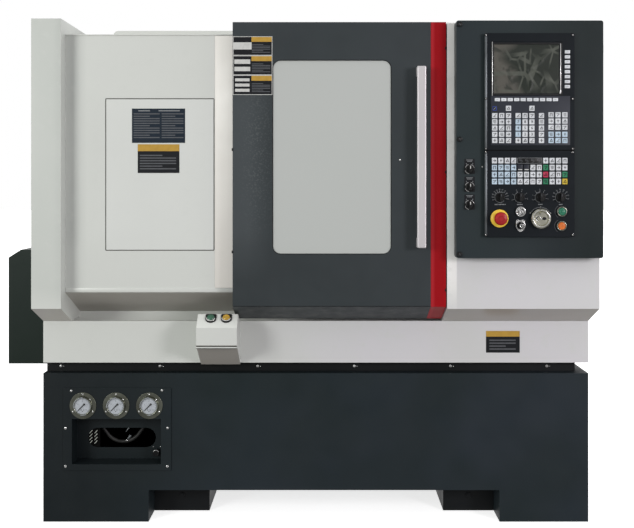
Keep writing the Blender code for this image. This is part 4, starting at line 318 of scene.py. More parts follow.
def plastic(name, color, roughness=0.42, grain=900.0, height=0.00003, coat=0.0, specular=0.35):
    """Moulded plastic with a fine spark-eroded grain."""
    finish = Finish(name, color, roughness)
    finish.soft_edges(0.0006)
    finish.tint(20.0, brighter(color, 1.2), 0.6)
    finish.vary_roughness(60.0, 0.06)
    finish.relief(grain, height, 2.0)
    finish.set("Specular IOR Level", specular)
    return finish.coat(coat, 0.12).material


def steel(name, color, roughness=0.26, stretch=(1, 1, 30), brush=60.0, tint=None):
    """Brushed or turned steel; the stretch gives the way the marks run."""
    finish = Finish(name, color, roughness, 1.0)
    finish.soft_edges(0.0005)
    finish.tint(14.0, tint or brighter(color, 0.78), 0.7)
    finish.vary_roughness(brush, 0.09, 4.0, stretch)
    finish.relief(brush, 0.00003, 3.0, stretch=stretch)
    return finish.set("Anisotropic", 0.4).material


def casting_paint():
    """Grey primer on a rough casting, with cutting oil darkening it in patches."""
    finish = Finish("casting_paint", (0.16, 0.19, 0.19), 0.50)
    finish.soft_edges(0.003)
    finish.tint(5.0, (0.11, 0.13, 0.13), 0.8)
    finish.worn_edges(0.003, (0.40, 0.40, 0.40), 0.7, 40.0)
    finish.vary_roughness(18.0, 0.12)
    return finish.relief(70.0, 0.0004, 4.0).material


def rubber(name):
    finish = Finish(name, (0.014, 0.014, 0.014), 0.55)
    finish.tint(40.0, (0.030, 0.030, 0.029), 0.8)
    finish.vary_roughness(80.0, 0.08)
    return finish.relief(350.0, 0.00008, 2.0).material


def handle_metal():
    """Clear-anodised extrusion: even and pale, with fine lines along its length."""
    finish = Finish("handle_anodised", (0.68, 0.65, 0.66), 0.42, 0.40)
    finish.soft_edges(0.0012)
    finish.tint(3.0, (0.60, 0.575, 0.59), 0.6, stretch=(1, 1, 0.3))
    finish.vary_roughness(220.0, 0.04, 2.0, (1, 1, 0.02))
    return finish.relief(900.0, 0.00001, 1.0, stretch=(1, 1, 0.01)).material


def window_film():
    """Pale protective film on the pane: flat and even, with the least cloudiness."""
    finish = Finish("window_film", (0.500, 0.520, 0.500), 0.50)
    finish.tint(1.6, (0.515, 0.528, 0.515), 0.6)
    finish.vary_roughness(3.0, 0.04)
    finish.relief(400.0, 0.00001, 1.0)
    return finish.set("Specular IOR Level", 0.2).material


# Each layer of folds: its scale, how wide and how soft a fold is, its share, and the scale of its gaps
FILM_FOLDS = ((11.5, 0.046, 0.016, 0.75, 13.0), (17.0, 0.050, 0.022, 0.75, 19.0))


def display_film():
    """Creased film over a dark display: olive folds in streaks and a painted brown-grey sheen over its left
    third.
    """
    finish = Finish("display_film", (0.0130, 0.0180, 0.0125), 0.40)
    low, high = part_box("cnc_display")
    width = high.x - low.x
    across = finish.node("ShaderNodeSeparateXYZ", {"Vector": finish.place}).outputs["X"]
    wave = finish.ranged(finish.noise(10.0, 1.0), 0.3, 0.7, -0.030, 0.030)
    bent = finish.node("ShaderNodeMath", {0: across, 1: wave}, operation="ADD").outputs["Value"]
    sheen = finish.ranged(bent, low.x + width * 0.36, low.x + width * 0.20)
    cloud = finish.ranged(finish.noise(22.0, 2.0, 0.5, None, 1.0), 0.36, 0.50, 0.25, 0.9)
    # Painted sheen over the left third
    finish.blend_color(finish.times(sheen, cloud), (0.098, 0.092, 0.078))
    for scale, wide, soft, share, drift in FILM_FOLDS:
        turned = finish.node("ShaderNodeMapping", {
            "Vector": finish.place, "Rotation": (0.3, scale / 9, 0.1), "Scale": (1.0, 1.0, 0.75),
        })
        cells = {"Vector": turned.outputs["Vector"], "Scale": scale}
        folds = finish.node("ShaderNodeTexVoronoi", cells, feature="DISTANCE_TO_EDGE")
        strip = finish.ranged(folds.outputs["Distance"], wide, wide - soft)
        patches = finish.ranged(finish.noise(drift, 1.0), 0.44, 0.58, 0.0, share)
        finish.blend_color(finish.times(strip, patches), (0.088, 0.095, 0.078))
    finish.vary_roughness(16.0, 0.08)
    finish.relief(11.0, 0.0006, 2.0, distortion=2.0)
    finish.set("Specular IOR Level", 0.3)
    return finish.coat(0.15, 0.2).material


def print_ink(name, color, roughness=0.45):
    """Screen print or label vinyl, with a little unevenness in its ink."""
    finish = Finish(name, color, roughness)
    finish.tint(60.0, brighter(color, 0.86), 0.7)
    finish.vary_roughness(90.0, 0.06)
    finish.set("Specular IOR Level", 0.2)
    return finish.relief(500.0, 0.00002, 2.0).material


def lens(name, color):
    """Translucent moulded lens of a push button."""
    finish = Finish(name, color, 0.28)
    finish.tint(60.0, brighter(color, 1.4), 0.7)
    finish.vary_roughness(90.0, 0.05)
    finish.relief(260.0, 0.00005, 1.0)
    finish.set("Subsurface Weight", 0.15)
    finish.set("Subsurface Radius", (0.004, 0.004, 0.004))
    return finish.coat(0.4, 0.12).material


def vent_light():
    """Painted light: the slits glow faintly, for the narrow light that comes through the stand's rear vents."""
    finish = Finish("vent_light", (0.40, 0.42, 0.38), 0.5)
    finish.tint(80.0, (0.22, 0.23, 0.20), 0.8)
    finish.set("Emission Color", (0.90, 0.95, 0.85, 1)).set("Emission Strength", 0.22)
    return finish.relief(300.0, 0.00002, 1.0).material


def clear_glass():
    """Thin clear glass: mostly see-through, with a clean reflection."""
    finish = Finish("gauge_glass", (0.95, 0.97, 0.97), 0.04)
    finish.set("Alpha", 0.05)
    finish.vary_roughness(30.0, 0.02)
    return finish.coat(0.6, 0.04).material


ROUND_MARKS = (1, 1, 1)
# Painted shade on the post and a painted shadow beside it on the left cover, and painted light on the strip
# left of the control panel
LEFT_PAINTED_SHADE = (
    (-0.900, -0.782, 0.002, 0.70, (0.520, 0.548, 0.512)),
    (-0.784, -0.735, 0.022, 0.55, (0.400, 0.420, 0.400)),
)
# Painted light on the strip between the door and the control panel
RIGHT_PAINTED_LIGHT = ((0.390, 0.434, 0.002, 0.95, (0.96, 0.94, 0.92)),)

MATERIALS = {
    "white": white_paint(),
    "right_white": white_paint("right_white_paint_with_painted_light", patches=RIGHT_PAINTED_LIGHT),
    "left_white": white_paint("left_white_paint_with_painted_shade", patches=LEFT_PAINTED_SHADE),
    "warm_white": white_paint("warm_white_paint", (0.700, 0.668, 0.620)),
    "cover_white": white_paint("cover_white_paint", (0.700, 0.715, 0.685)),
    "base": dark_paint(
        "base_paint", (0.0120, 0.0200, 0.0225), (0.0190, 0.0260, 0.0340), (0.0100, 0.0165, 0.0160),
        side=(-0.30, -0.75, (0.0062, 0.0092, 0.0110)),
    ),
    "panel": dark_paint(
        "panel_paint", (0.0190, 0.0290, 0.0320), (0.0210, 0.0265, 0.0340), (0.0170, 0.0270, 0.0270),
        side=(0.62, 0.82, (0.0030, 0.0085, 0.0090)),
    ),
    "black": dark_paint(
        "black_paint", (0.0040, 0.0050, 0.0058), (0.0070, 0.0085, 0.0105), (0.0030, 0.0040, 0.0040),
    ),
    "guard": dark_paint(
        "guard_paint", (0.0095, 0.0190, 0.0140), (0.0135, 0.0245, 0.0180), (0.0065, 0.0150, 0.0120),
    ),
    "door": door_paint(),
    "red": red_paint(),
    "casting": casting_paint(),
    "steel": steel("turned_steel", (0.58, 0.58, 0.57)),
    "rail_steel": steel("rail_steel", (0.72, 0.72, 0.71), 0.34, (30, 1, 1)),
    "chrome": steel("bright_screw", (0.84, 0.84, 0.83), 0.18),
    "gauge_metal": steel(
        "gauge_metal", (0.225, 0.235, 0.195), 0.30, ROUND_MARKS, 30.0, (0.150, 0.155, 0.125),
    ),
    "wheel_metal": steel("wheel_metal", (0.62, 0.61, 0.52), 0.24, ROUND_MARKS, 40.0, (0.42, 0.41, 0.33)),
    "edge_metal": steel("edge_metal", (0.175, 0.190, 0.200), 0.42, (1, 1, 0.2), 90.0),
    "handle": handle_metal(),
    "unit": plastic("unit_plastic", (0.0062, 0.0088, 0.0118), 0.52, specular=0.14),
    "membrane": plastic("membrane", (0.0270, 0.0300, 0.0400), 0.42, 500.0, specular=0.2),
    "knob": plastic("knob_plastic", (0.0040, 0.0042, 0.0046), 0.36, specular=0.35),
    "key": plastic("key_plastic", (0.64, 0.66, 0.69), 0.42, 700.0),
    "key_blue": plastic("key_plastic_blue", (0.47, 0.58, 0.68), 0.42, 700.0),
    "key_green": plastic("key_plastic_green", (0.020, 0.190, 0.090), 0.40, 700.0),
    "key_red": plastic("key_plastic_red", (0.46, 0.030, 0.075), 0.40, 700.0),
    "key_yellow": plastic("key_plastic_yellow", (0.56, 0.40, 0.035), 0.40, 700.0),
    "estop_red": plastic("estop_red", (0.36, 0.011, 0.014), 0.34, 500.0, coat=0.2),
    "estop_yellow": plastic("estop_yellow", (0.86, 0.56, 0.055), 0.32, 500.0, coat=0.2),
    "lens_green": lens("lens_green", (0.008, 0.150, 0.080)),
    "lens_orange": lens("lens_orange", (0.62, 0.150, 0.018)),
    "lens_dark_green": lens("lens_dark_green", (0.018, 0.105, 0.055)),
    "lens_yellow": lens("lens_yellow", (0.47, 0.28, 0.020)),
    "rubber": rubber("rubber_hose"),
    "belt": rubber("rubber_belt"),
    "window": window_film(),
    "film": display_film(),
    "glass": clear_glass(),
    "ink_white": print_ink("ink_white", (0.62, 0.62, 0.60)),
    "ink_pale": print_ink("ink_pale", (0.26, 0.27, 0.28)),
    "ink_grey": print_ink("ink_grey", (0.115, 0.120, 0.130)),
    "ink_dark": print_ink("ink_dark", (0.040, 0.042, 0.046)),
    "ink_black": print_ink("ink_black", (0.0105, 0.0115, 0.0140)),
    "ink_navy": print_ink("ink_navy", (0.0125, 0.0215, 0.0345)),
    "ink_blue": print_ink("ink_blue", (0.045, 0.085, 0.400)),
    "ink_ochre": print_ink("ink_ochre", (0.52, 0.31, 0.055)),
    "gap": print_ink("gap_shadow", (0.060, 0.060, 0.052), 0.8),
    # Near black, for the dark joint between the units and as painted shade behind the vents
    "void": print_ink("dark_joint_and_painted_shade", (0.0003, 0.0003, 0.0003), 0.95),
    "slit": vent_light(),
    "dial": print_ink("dial_white", (0.46, 0.49, 0.53), 0.5),
}


# Shapes


class Piece:
    """Shapes in one or more materials that become one object riding on a body."""

    def __init__(self, name, body, slot):
        self.name = name
        self.body = body
        self.slot = slot
        self.mesh = bmesh.new()
        self.materials = []

    def add(self, shape, material, seat=None, x=0.0, y=0.0, z=0.0, turn=0.0, smooth=False):
        """Puts a shape in the piece: turned in its drawing, shifted by x, y and z, then set on the seat."""
        place = Matrix.Translation((x, y, z)) @ Matrix.Rotation(math.radians(turn), 4, "Z")
        bmesh.ops.transform(shape, matrix=seat @ place if seat else place, verts=shape.verts)
        if material not in self.materials:
            self.materials.append(material)
        for face in shape.faces:
            face.material_index = self.materials.index(material)
            face.smooth = smooth
        scratch = bpy.data.meshes.new("scratch")
        shape.to_mesh(scratch)
        shape.free()
        self.mesh.from_mesh(scratch)
        bpy.data.meshes.remove(scratch)
        return self

    def done(self, replaces=()):
        data = bpy.data.meshes.new(self.name)
        self.mesh.to_mesh(data)
        self.mesh.free()
        for key in self.materials:
            data.materials.append(MATERIALS[key])
        data.set_sharp_from_angle(angle=math.radians(38))
        item = bpy.data.objects.new(self.name, data)
        bpy.context.scene.collection.objects.link(item)
        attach(item, self.body)
        if replaces:
            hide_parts(*replaces)
        return item


def facing(centre, direction=OUT):
    """Matrix that puts a shape drawn in X and Y, its front towards +Z, at centre facing along direction.

    On an upright face the drawing's X runs to the viewer's right and its Y upwards.
    """
    normal = Vector(direction).normalized()
    up = UP if abs(normal.z) < 0.9 else Vector((0, 1, 0))
    across = up.cross(normal).normalized()
    turn = Matrix((across, normal.cross(across), normal)).transposed().to_4x4()
    return Matrix.Translation(centre) @ turn


def front_of(node):
    """The seat on the middle of a node's front."""
    low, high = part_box(node)
    return facing(Vector(((low.x + high.x) / 2, low.y, (low.z + high.z) / 2)))


def slab(width, height, low, high, round_edge=0.0, steps=2):
    """A plate centred on the drawing's origin from depth low to high, its edges rounded."""
    shape = bmesh.new()
    bmesh.ops.create_cube(shape, size=1.0)
    bmesh.ops.scale(shape, vec=(width, height, high - low), verts=shape.verts)
    bmesh.ops.translate(shape, vec=(0, 0, (low + high) / 2), verts=shape.verts)
    if round_edge:
        bmesh.ops.bevel(
            shape, geom=shape.edges[:], offset=round_edge, segments=steps, profile=0.5, affect="EDGES"
        )
    return shape


def outline_plate(points, low, high, edge=0.0):
    """A plate of any outline, with a small chamfer round its front."""
    shape = bmesh.new()
    face = shape.faces.new([shape.verts.new((x, y, low)) for x, y in points])
    grown = bmesh.ops.extrude_face_region(shape, geom=[face])
    top = [item for item in grown["geom"] if isinstance(item, bmesh.types.BMVert)]
    bmesh.ops.translate(shape, vec=(0, 0, high - low), verts=top)
    bmesh.ops.recalc_face_normals(shape, faces=shape.faces)
    if edge:
        rim = [e for e in shape.edges if all(abs(v.co.z - high) < 1e-7 for v in e.verts)]
        bmesh.ops.bevel(shape, geom=rim, offset=edge, segments=2, profile=0.6, affect="EDGES")
    return shape


def rounded_outline(width, height, radius, steps=5):
    points = []
    for corner, (sx, sy) in enumerate(((1, 1), (-1, 1), (-1, -1), (1, -1))):
        for step in range(steps + 1):
            angle = math.pi / 2 * (corner + step / steps)
            points.append((
                sx * (width / 2 - radius) + radius * math.cos(angle),
                sy * (height / 2 - radius) + radius * math.sin(angle),
            ))
    return points


def circle_points(radius, count, teeth=0.0):
    """Points of a circle; with teeth, every second one stands out by that much."""
    return [
        ((radius + teeth * (i % 2)) * math.cos(math.tau * i / count),
         (radius + teeth * (i % 2)) * math.sin(math.tau * i / count))
        for i in range(count)
    ]


def washer(outer, inner, low, high):
    """A flat part between two outlines with the same number of points."""
    shape = bmesh.new()
    rings = [
        [shape.verts.new((x, y, z)) for x, y in points]
        for points, z in ((outer, low), (outer, high), (inner, high), (inner, low))
    ]
    bridge(shape, rings, closed=True)
    bmesh.ops.recalc_face_normals(shape, faces=shape.faces)
    return shape


def bridge(shape, rings, closed=False):
    """Joins rings of the same number of points with faces."""
    for here, there in zip(rings, rings[1:] + rings[:1] if closed else rings[1:]):
        for i in range(len(here)):
            j = (i + 1) % len(here)
            shape.faces.new((here[i], here[j], there[j], there[i]))


def frame_outline(width, height, radius, band, low, high):
    """A picture-frame shape: a rounded rectangle with a smaller one left open inside."""
    inner = rounded_outline(width - band * 2, height - band * 2, max(radius - band, band / 4))
    return washer(rounded_outline(width, height, radius), inner, low, high)


def lathe(profile, steps=32):
    """A turned shape from (radius, height) points, its axis along the drawing's +Z."""
    shape = bmesh.new()
    rings = []
    for radius, height in profile:
        if radius < 1e-9:
            rings.append([shape.verts.new((0, 0, height))])
        else:
            rings.append([shape.verts.new((x, y, height)) for x, y in circle_points(radius, steps)])
    for here, there in zip(rings, rings[1:]):
        for i in range(steps):
            j = (i + 1) % steps
            corners = [here[i % len(here)], here[j % len(here)], there[j % len(there)], there[i % len(there)]]
            unique = list(dict.fromkeys(corners))
            if len(unique) > 2:
                shape.faces.new(unique)
    bmesh.ops.recalc_face_normals(shape, faces=shape.faces)
    return shape


def ring(inner, outer, low, high, steps=32, crown=0.0):
    """A turned ring with slightly rounded corners."""
    e = crown or min((outer - inner), (high - low)) * 0.25
    profile = [
        (inner, low), (outer, low), (outer, high - e), (outer - e * 0.3, high - e * 0.3), (outer - e, high),
        (inner + e, high), (inner + e * 0.3, high - e * 0.3), (inner, high - e), (inner, low),
    ]
    return lathe(profile, steps)


def dome(radius, height, low, steps=16, rings=4):
    """A shallow domed cap that stands on depth low."""
    profile = [(0, low), (radius, low)]
    for i in range(1, rings):
        angle = math.pi / 2 * i / rings
        profile.append((radius * math.cos(angle), low + height * math.sin(angle)))
    profile.append((0, low + height))
    return lathe(profile, steps)


def arc_band(inner, outer, start, end, low, high, steps=24):
    """A thin band along an arc. Angles are in degrees, anticlockwise from the right."""
    points = []
    for radius, order in ((outer, range(steps + 1)), (inner, range(steps, -1, -1))):
        for i in order:
            angle = math.radians(start + (end - start) * i / steps)
            points.append((radius * math.cos(angle), radius * math.sin(angle)))
    return outline_plate(points, low, high)


def stroke(x0, y0, x1, y1, width, low, high):
    """A straight bar from one point of the drawing to another."""
    shape = slab(math.hypot(x1 - x0, y1 - y0) + width, width, low, high)
    place = Matrix.Translation(((x0 + x1) / 2, (y0 + y1) / 2, 0))
    turn = Matrix.Rotation(math.atan2(y1 - y0, x1 - x0), 4, "Z")
    bmesh.ops.transform(shape, matrix=place @ turn, verts=shape.verts)
    return shape


def polar(radius, degrees):
    return radius * math.cos(math.radians(degrees)), radius * math.sin(math.radians(degrees))


def tick(angle, inner, outer, width, low, high):
    """A radial mark of a round scale."""
    return stroke(*polar(inner, angle), *polar(outer, angle), width, low, high)


def digits(words, size, low, high):
    """Numbers as a thin raised print, centred on the drawing's origin."""
    curve = bpy.data.curves.new("digits", "FONT")
    curve.body = words
    curve.size = size
    curve.align_x = "CENTER"
    curve.align_y = "CENTER"
    curve.resolution_u = 2
    curve.extrude = (high - low) / 2
    item = bpy.data.objects.new("digits", curve)
    bpy.context.scene.collection.objects.link(item)
    data = bpy.data.meshes.new_from_object(item.evaluated_get(bpy.context.evaluated_depsgraph_get()))
    shape = bmesh.new()
    shape.from_mesh(data)
    bmesh.ops.translate(shape, vec=(0, 0, (low + high) / 2), verts=shape.verts)
    bpy.data.objects.remove(item)
    bpy.data.curves.remove(curve)
    bpy.data.meshes.remove(data)
    return shape


def machine_screw(radius):
    """A button-head screw: round head with a sunk hexagon."""
    height = radius * 0.6
    shape = bmesh.new()
    steps = 18
    levels = (
        (radius, 0, False), (radius, height * 0.25, False), (radius * 0.86, height * 0.75, False),
        (radius * 0.60, height, False), (radius * 0.44, height, True), (radius * 0.40, height * 0.3, True),
    )
    rings = []
    for size, z, hexagon in levels:
        line = []
        for i in range(steps):
            angle = math.tau * i / steps
            reach = size
            if hexagon:
                sector = math.tau / 6
                reach = size * math.cos(sector / 2) / math.cos((angle % sector) - sector / 2)
            line.append(shape.verts.new((reach * math.cos(angle), reach * math.sin(angle), z)))
        rings.append(line)
    bridge(shape, rings)
    shape.faces.new(rings[-1])
    shape.faces.new(list(reversed(rings[0])))
    return shape


def screws(name, body, slot, seats, radius, material="chrome", washer_radius=0.0):
    """Button-head screws at a list of seats, each on a thin washer where asked."""
    piece = Piece(name, body, slot)
    for seat in seats:
        if washer_radius:
            piece.add(ring(radius * 0.7, washer_radius, -SKIN, PLATE, 20), "knob", seat)
        piece.add(machine_screw(radius), material, seat, smooth=True)
    piece.done()


# CAD finishes

FINISH_OF_NODE = {
    "base": ("base_stand", "gauge_panel"),
    "panel": ("control_door",),
    "black": ("plinth", "inner_foot_left", "inner_foot_right", "spindle_motor"),
    "white": ("centre_cover", "apron", "rear_cabinet", "rear_cabinet_door", "button_box"),
    "left_white": ("left_cover",),
    "right_white": ("right_cover",),
    "cover_white": ("access_cover",),
    "guard": ("drive_guard",),
    "door": ("door_panel",),
    "red": ("door_edge_strip",),
    "window": ("door_window",),
    "handle": ("door_handle",),
    "casting": ("bed_casting", "headstock", "saddle", "turret_slide", "tailstock"),
    "steel": (
        "spindle", "chuck", "chuck_jaw_1", "chuck_jaw_2", "chuck_jaw_3", "motor_pulley", "turret_disc",
        "tailstock_quill", "chip_gutter",
    ),
    "chrome": ("reset_button",),
    "wheel_metal": ("handwheel",),
    "rail_steel": ("door_rail",),
    "gauge_metal": ("pressure_gauge_left", "pressure_gauge_middle", "pressure_gauge_right"),
    "unit": ("cnc_screen_unit", "cnc_key_unit"),
    "knob": (
        "feed_selector_1", "feed_selector_2", "feed_selector_3", "feed_selector_4",
        "mode_switch_1", "mode_switch_2", "mode_switch_3", "regulator_knob", "key_switch",
    ),
    "film": ("cnc_display",),
    "estop_yellow": ("estop_collar",),
    "estop_red": ("estop_button",),
    "lens_green": ("cycle_start_button",),
    "lens_orange": ("feed_hold_button",),
    "lens_dark_green": ("coolant_start_button",),
    "lens_yellow": ("coolant_stop_button",),
    "rubber": ("gauge_hose",),
    "belt": ("drive_belt",),
}


def paint_nodes():
    for key, names in FINISH_OF_NODE.items():
        for name in names:
            for entry in frame["nodes"][name].material_slots:
                entry.material = MATERIALS[key]


# Control panel

# The key unit's and screen unit's lower left corners, from the stand's front
UNIT_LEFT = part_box("cnc_key_unit")[0].x - MIDDLE_X
UNIT_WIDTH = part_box("cnc_key_unit")[1].x - MIDDLE_X - UNIT_LEFT
KEY_UNIT_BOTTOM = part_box("cnc_key_unit")[0].z
KEY_UNIT_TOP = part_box("cnc_key_unit")[1].z
SCREEN_UNIT_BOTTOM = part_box("cnc_screen_unit")[0].z
SCREEN_UNIT_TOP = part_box("cnc_screen_unit")[1].z

KEY_CAP = 0.0158
KEY_HEIGHT = 0.0026
KEY_ROUND = 0.0012
# A keycap's outline at each height, in shares of its own outline and height
CAP_PROFILE_SHARES = ((1.0, 0.0), (1.0, 0.62), (0.93, 1.0), (0.80, 1.0), (0.55, 0.86))
KEY_PRINT = (KEY_HEIGHT * 0.84, KEY_HEIGHT * 0.84 + 0.0006)
SCREEN_KEY_PITCH_X = 0.0207
SCREEN_KEY_PITCH_Z = 0.0187
SCREEN_KEY_BOTTOM = 0.0292
SCREEN_KEY_ROWS = 5
LETTER_BLOCK = 0.0277
NUMBER_BLOCK = 0.0980
CYCLE_COLUMN = 0.1681
EDIT_BLOCK = 0.1970
EXTRA_KEY_RAISE = 0.0033
EDIT_KEYS_RAISE = 0.0024
SOFT_KEY = (0.0158, 0.0098)
BOTTOM_SOFT_KEYS = (0.0355, 0.0194, 0.1521)
SIDE_SOFT_KEYS = (0.246, 0.1913, 0.0149)
MACHINE_KEY = (0.0152, 0.0172)
MACHINE_LEFT = 0.0268
MACHINE_BOTTOM = 0.1665
MACHINE_PITCH_X = 0.01925
MACHINE_PITCH_Z = 0.0209
MARK_WIDTH = 0.0014
MARK_SIZE = 0.0078

# Signs on the keys: strokes from point to point, in shares of the sign's size
SIGN_SHARES = (
    ((-0.5, 0.4, 0.5, 0.4), (0.5, 0.4, -0.3, -0.5)),
    ((-0.5, -0.5, 0.5, 0.5), (-0.1, -0.5, 0.5, -0.5)),
    ((0.0, 0.5, 0.0, -0.5), (-0.4, 0.1, 0.4, 0.1)),
    ((-0.5, 0.45, 0.5, 0.45), (-0.5, 0.0, 0.5, 0.0), (-0.3, -0.45, 0.5, -0.45)),
    ((-0.4, -0.5, -0.4, 0.5), (-0.4, 0.5, 0.4, 0.5), (0.4, 0.5, 0.4, -0.5)),
    ((-0.5, -0.4, 0.1, 0.5), (0.1, 0.5, 0.5, -0.4), (-0.5, -0.4, 0.5, -0.4)),
    ((-0.5, 0.0, 0.5, 0.0), (0.1, 0.4, 0.5, 0.0), (0.1, -0.4, 0.5, 0.0)),
)


def on_key_unit(x, z, lift=0.0):
    """A place on the key unit's face, from its lower left corner."""
    return facing(at(UNIT_LEFT + x, UNIT_FRONT - lift, KEY_UNIT_BOTTOM + z))


def on_screen_unit(x, z, lift=0.0):
    return facing(at(UNIT_LEFT + x, UNIT_FRONT - lift, SCREEN_UNIT_BOTTOM + z))


def key_cap(width, height):
    """A keycap with a dished top and rounded corners, covering the CAD cap."""
    outer = rounded_outline(width, height, KEY_ROUND, 3)
    shape = bmesh.new()
    rings = [
        [shape.verts.new((x * share, y * share, KEY_HEIGHT * rise)) for x, y in outer]
        for share, rise in CAP_PROFILE_SHARES
    ]
    bridge(shape, rings)
    shape.faces.new(rings[-1])
    shape.faces.new(list(reversed(rings[0])))
    return shape


def key(piece, seat, size, color, number, figure=None):
    """A key with its printed sign, or with a figure."""
    piece.add(key_cap(*size), color, seat, smooth=True)
    if figure:
        piece.add(digits(figure, 0.0115, *KEY_PRINT), "ink_black", seat)
        return
    ink = "ink_dark" if color in ("key", "key_blue") else "ink_black"
    for shares in SIGN_SHARES[number % len(SIGN_SHARES)]:
        x0, y0, x1, y1 = (share * MARK_SIZE for share in shares)
        piece.add(stroke(x0, y0, x1, y1, MARK_WIDTH, *KEY_PRINT), ink, seat)


def machine_key_place(column, row):
    """The place of a machine key, or half way between two, by its column and row from the lower left."""
    return on_key_unit(MACHINE_LEFT + MACHINE_PITCH_X * column, MACHINE_BOTTOM + MACHINE_PITCH_Z * row)


def screen_unit_keys():
    """The keys of the screen unit: soft keys, letter, number, cursor and edit blocks."""
    piece = Piece("screen_unit_keys", "control_panel", "panel_plastic")
    left, pitch, z = BOTTOM_SOFT_KEYS
    seats = [on_screen_unit(left + pitch * i, z) for i in range(10)]
    x, bottom, pitch = SIDE_SOFT_KEYS
    seats += [on_screen_unit(x, bottom + pitch * i) for i in range(8)]
    for seat in seats:
        piece.add(slab(*SOFT_KEY, 0, KEY_HEIGHT, 0.0009), "key", seat)
        piece.add(slab(SOFT_KEY[0] * 0.42, 0.0008, KEY_HEIGHT - SKIN, KEY_HEIGHT + SKIN), "ink_pale", seat)
    for block, columns, extra in (
        (LETTER_BLOCK, 3, True), (NUMBER_BLOCK, 3, True), (CYCLE_COLUMN, 1, False), (EDIT_BLOCK, 3, False),
    ):
        for row in range(SCREEN_KEY_ROWS + extra):
            for column in range(columns):
                if row == SCREEN_KEY_ROWS and column != columns - 1:
                    continue
                z = SCREEN_KEY_BOTTOM + SCREEN_KEY_PITCH_Z * row
                z += EXTRA_KEY_RAISE if row == SCREEN_KEY_ROWS else 0
                z += EDIT_KEYS_RAISE if block == EDIT_BLOCK and row > 1 else 0
                numbered = block == NUMBER_BLOCK and row in (1, 2, 3)
                blue = (numbered and column == 0) or (block == EDIT_BLOCK and row < 2)
                figure = "789456123"[(3 - row) * 3 + column] if numbered else None
                seat = on_screen_unit(block + SCREEN_KEY_PITCH_X * column, z)
                number = row * 5 + column * 3 + int(block * 100)
                key(piece, seat, (KEY_CAP, KEY_CAP), "key_blue" if blue else "key", number, figure)
    piece.done()


def key_unit_keys():
    """The machine keys: four rows of twelve, with the display and lamp windows in the upper rows."""
    piece = Piece("key_unit_keys", "control_panel", "panel_plastic")
    special = {(8, 2): "key_green", (8, 1): "key_red", (8, 0): "key_green"}
    special.update({(11, 1): "key_green", (11, 0): "key_yellow"})
    lamps = {(4, 3), (5, 3), (6, 3), (7, 3), (4, 2), (5, 2)}
    for row in range(4):
        for column in range(12):
            if (column, row) in lamps:
                continue
            default = "key_blue" if column < 4 and row < 3 else "key"
            color = special.get((column, row), default)
            key(piece, machine_key_place(column, row), MACHINE_KEY, color, column * 3 + row * 2)
    piece.done()


def lamp_windows():
    """The dark number display in the top row and the two lamp windows under it."""
    piece = Piece("lamp_windows", "control_panel", "panel_plastic")
    width = MACHINE_PITCH_X * 3.85
    seat = machine_key_place(5.5, 3)
    piece.add(slab(width, MACHINE_KEY[1], 0, 0.0024, 0.0008), "knob", seat)
    piece.add(frame_outline(width, MACHINE_KEY[1], 0.0012, 0.0009, 0.0024, 0.0028), "ink_pale", seat)
    segments = ((0, 0, 0), (0, 0.0045, 0), (0, -0.0045, 0), (-0.0036, 0.0022, 90), (0.0036, -0.0022, 90))
    for i in range(4):
        for x, y, turn in segments:
            across = (i - 1.5) * MACHINE_PITCH_X * 0.92 + x
            piece.add(slab(0.0052, 0.0012, 0.0024, 0.0027), "ink_grey", seat, x=across, y=y, turn=turn)
    for column in (4, 5):
        seat = machine_key_place(column, 2)
        piece.add(slab(MACHINE_KEY[0] + 0.0008, MACHINE_KEY[1] + 0.0006, 0, 0.0027, 0.0008), "membrane", seat)
        piece.add(slab(0.0120, 0.0026, 0.0027, 0.0031), "ink_white", seat, y=-0.0060)
    piece.done()


EDGE_TRIM_WIDTH = 0.0068
EDGE_TRIM_PROUD = 0.0012
EDGE_TRIM_SINK = 0.0020
EDGE_TRIM_INSET = 0.0014
EDGE_TRIM_SPARE = 0.004
UNIT_JOINT_WIDTH = 0.0028
UNIT_SCREW_RADIUS = 0.0021
UNIT_SCREW_WASHER = 0.0042


def unit_edge_trim():
    """The bevelled metal edge at the left of both units, the joint between them, and their screws."""
    trim = Piece("unit_edge_trim", "control_panel", "machined_steel")
    for low, high in ((KEY_UNIT_BOTTOM, KEY_UNIT_TOP), (SCREEN_UNIT_BOTTOM, SCREEN_UNIT_TOP)):
        seat = facing(at(UNIT_LEFT + EDGE_TRIM_INSET, UNIT_FRONT, (low + high) / 2))
        strip = slab(EDGE_TRIM_WIDTH, high - low - EDGE_TRIM_SPARE, -EDGE_TRIM_SINK, EDGE_TRIM_PROUD, PLATE)
        trim.add(strip, "edge_metal", seat)
    joint = facing(at(UNIT_LEFT + UNIT_WIDTH / 2, UNIT_FRONT, (KEY_UNIT_TOP + SCREEN_UNIT_BOTTOM) / 2))
    trim.add(slab(UNIT_WIDTH - 0.003, UNIT_JOINT_WIDTH, -0.0006, 0.0003), "void", joint)
    trim.done()
    seats = []
    for z in (KEY_UNIT_BOTTOM + 0.0055, KEY_UNIT_TOP - 0.0055, SCREEN_UNIT_BOTTOM + 0.0045,
              SCREEN_UNIT_TOP - 0.0060, SCREEN_UNIT_BOTTOM + 0.1545):
        for x in (UNIT_LEFT + 0.0010, UNIT_LEFT + UNIT_WIDTH - 0.0060):
            seats.append(facing(at(x, UNIT_FRONT - EDGE_TRIM_PROUD, z)))
    screws(
        "unit_screws", "control_panel", "machined_steel", seats, UNIT_SCREW_RADIUS, "chrome", UNIT_SCREW_WASHER,
    )


# The membrane's left and right edge, and its lower and upper edge, from the screen unit's lower left corner
MEMBRANE_SIDES = (0.0165, 0.2545)
MEMBRANE_HEIGHTS = (0.0150, 0.1635)
MEMBRANE_THICKNESS = 0.0005


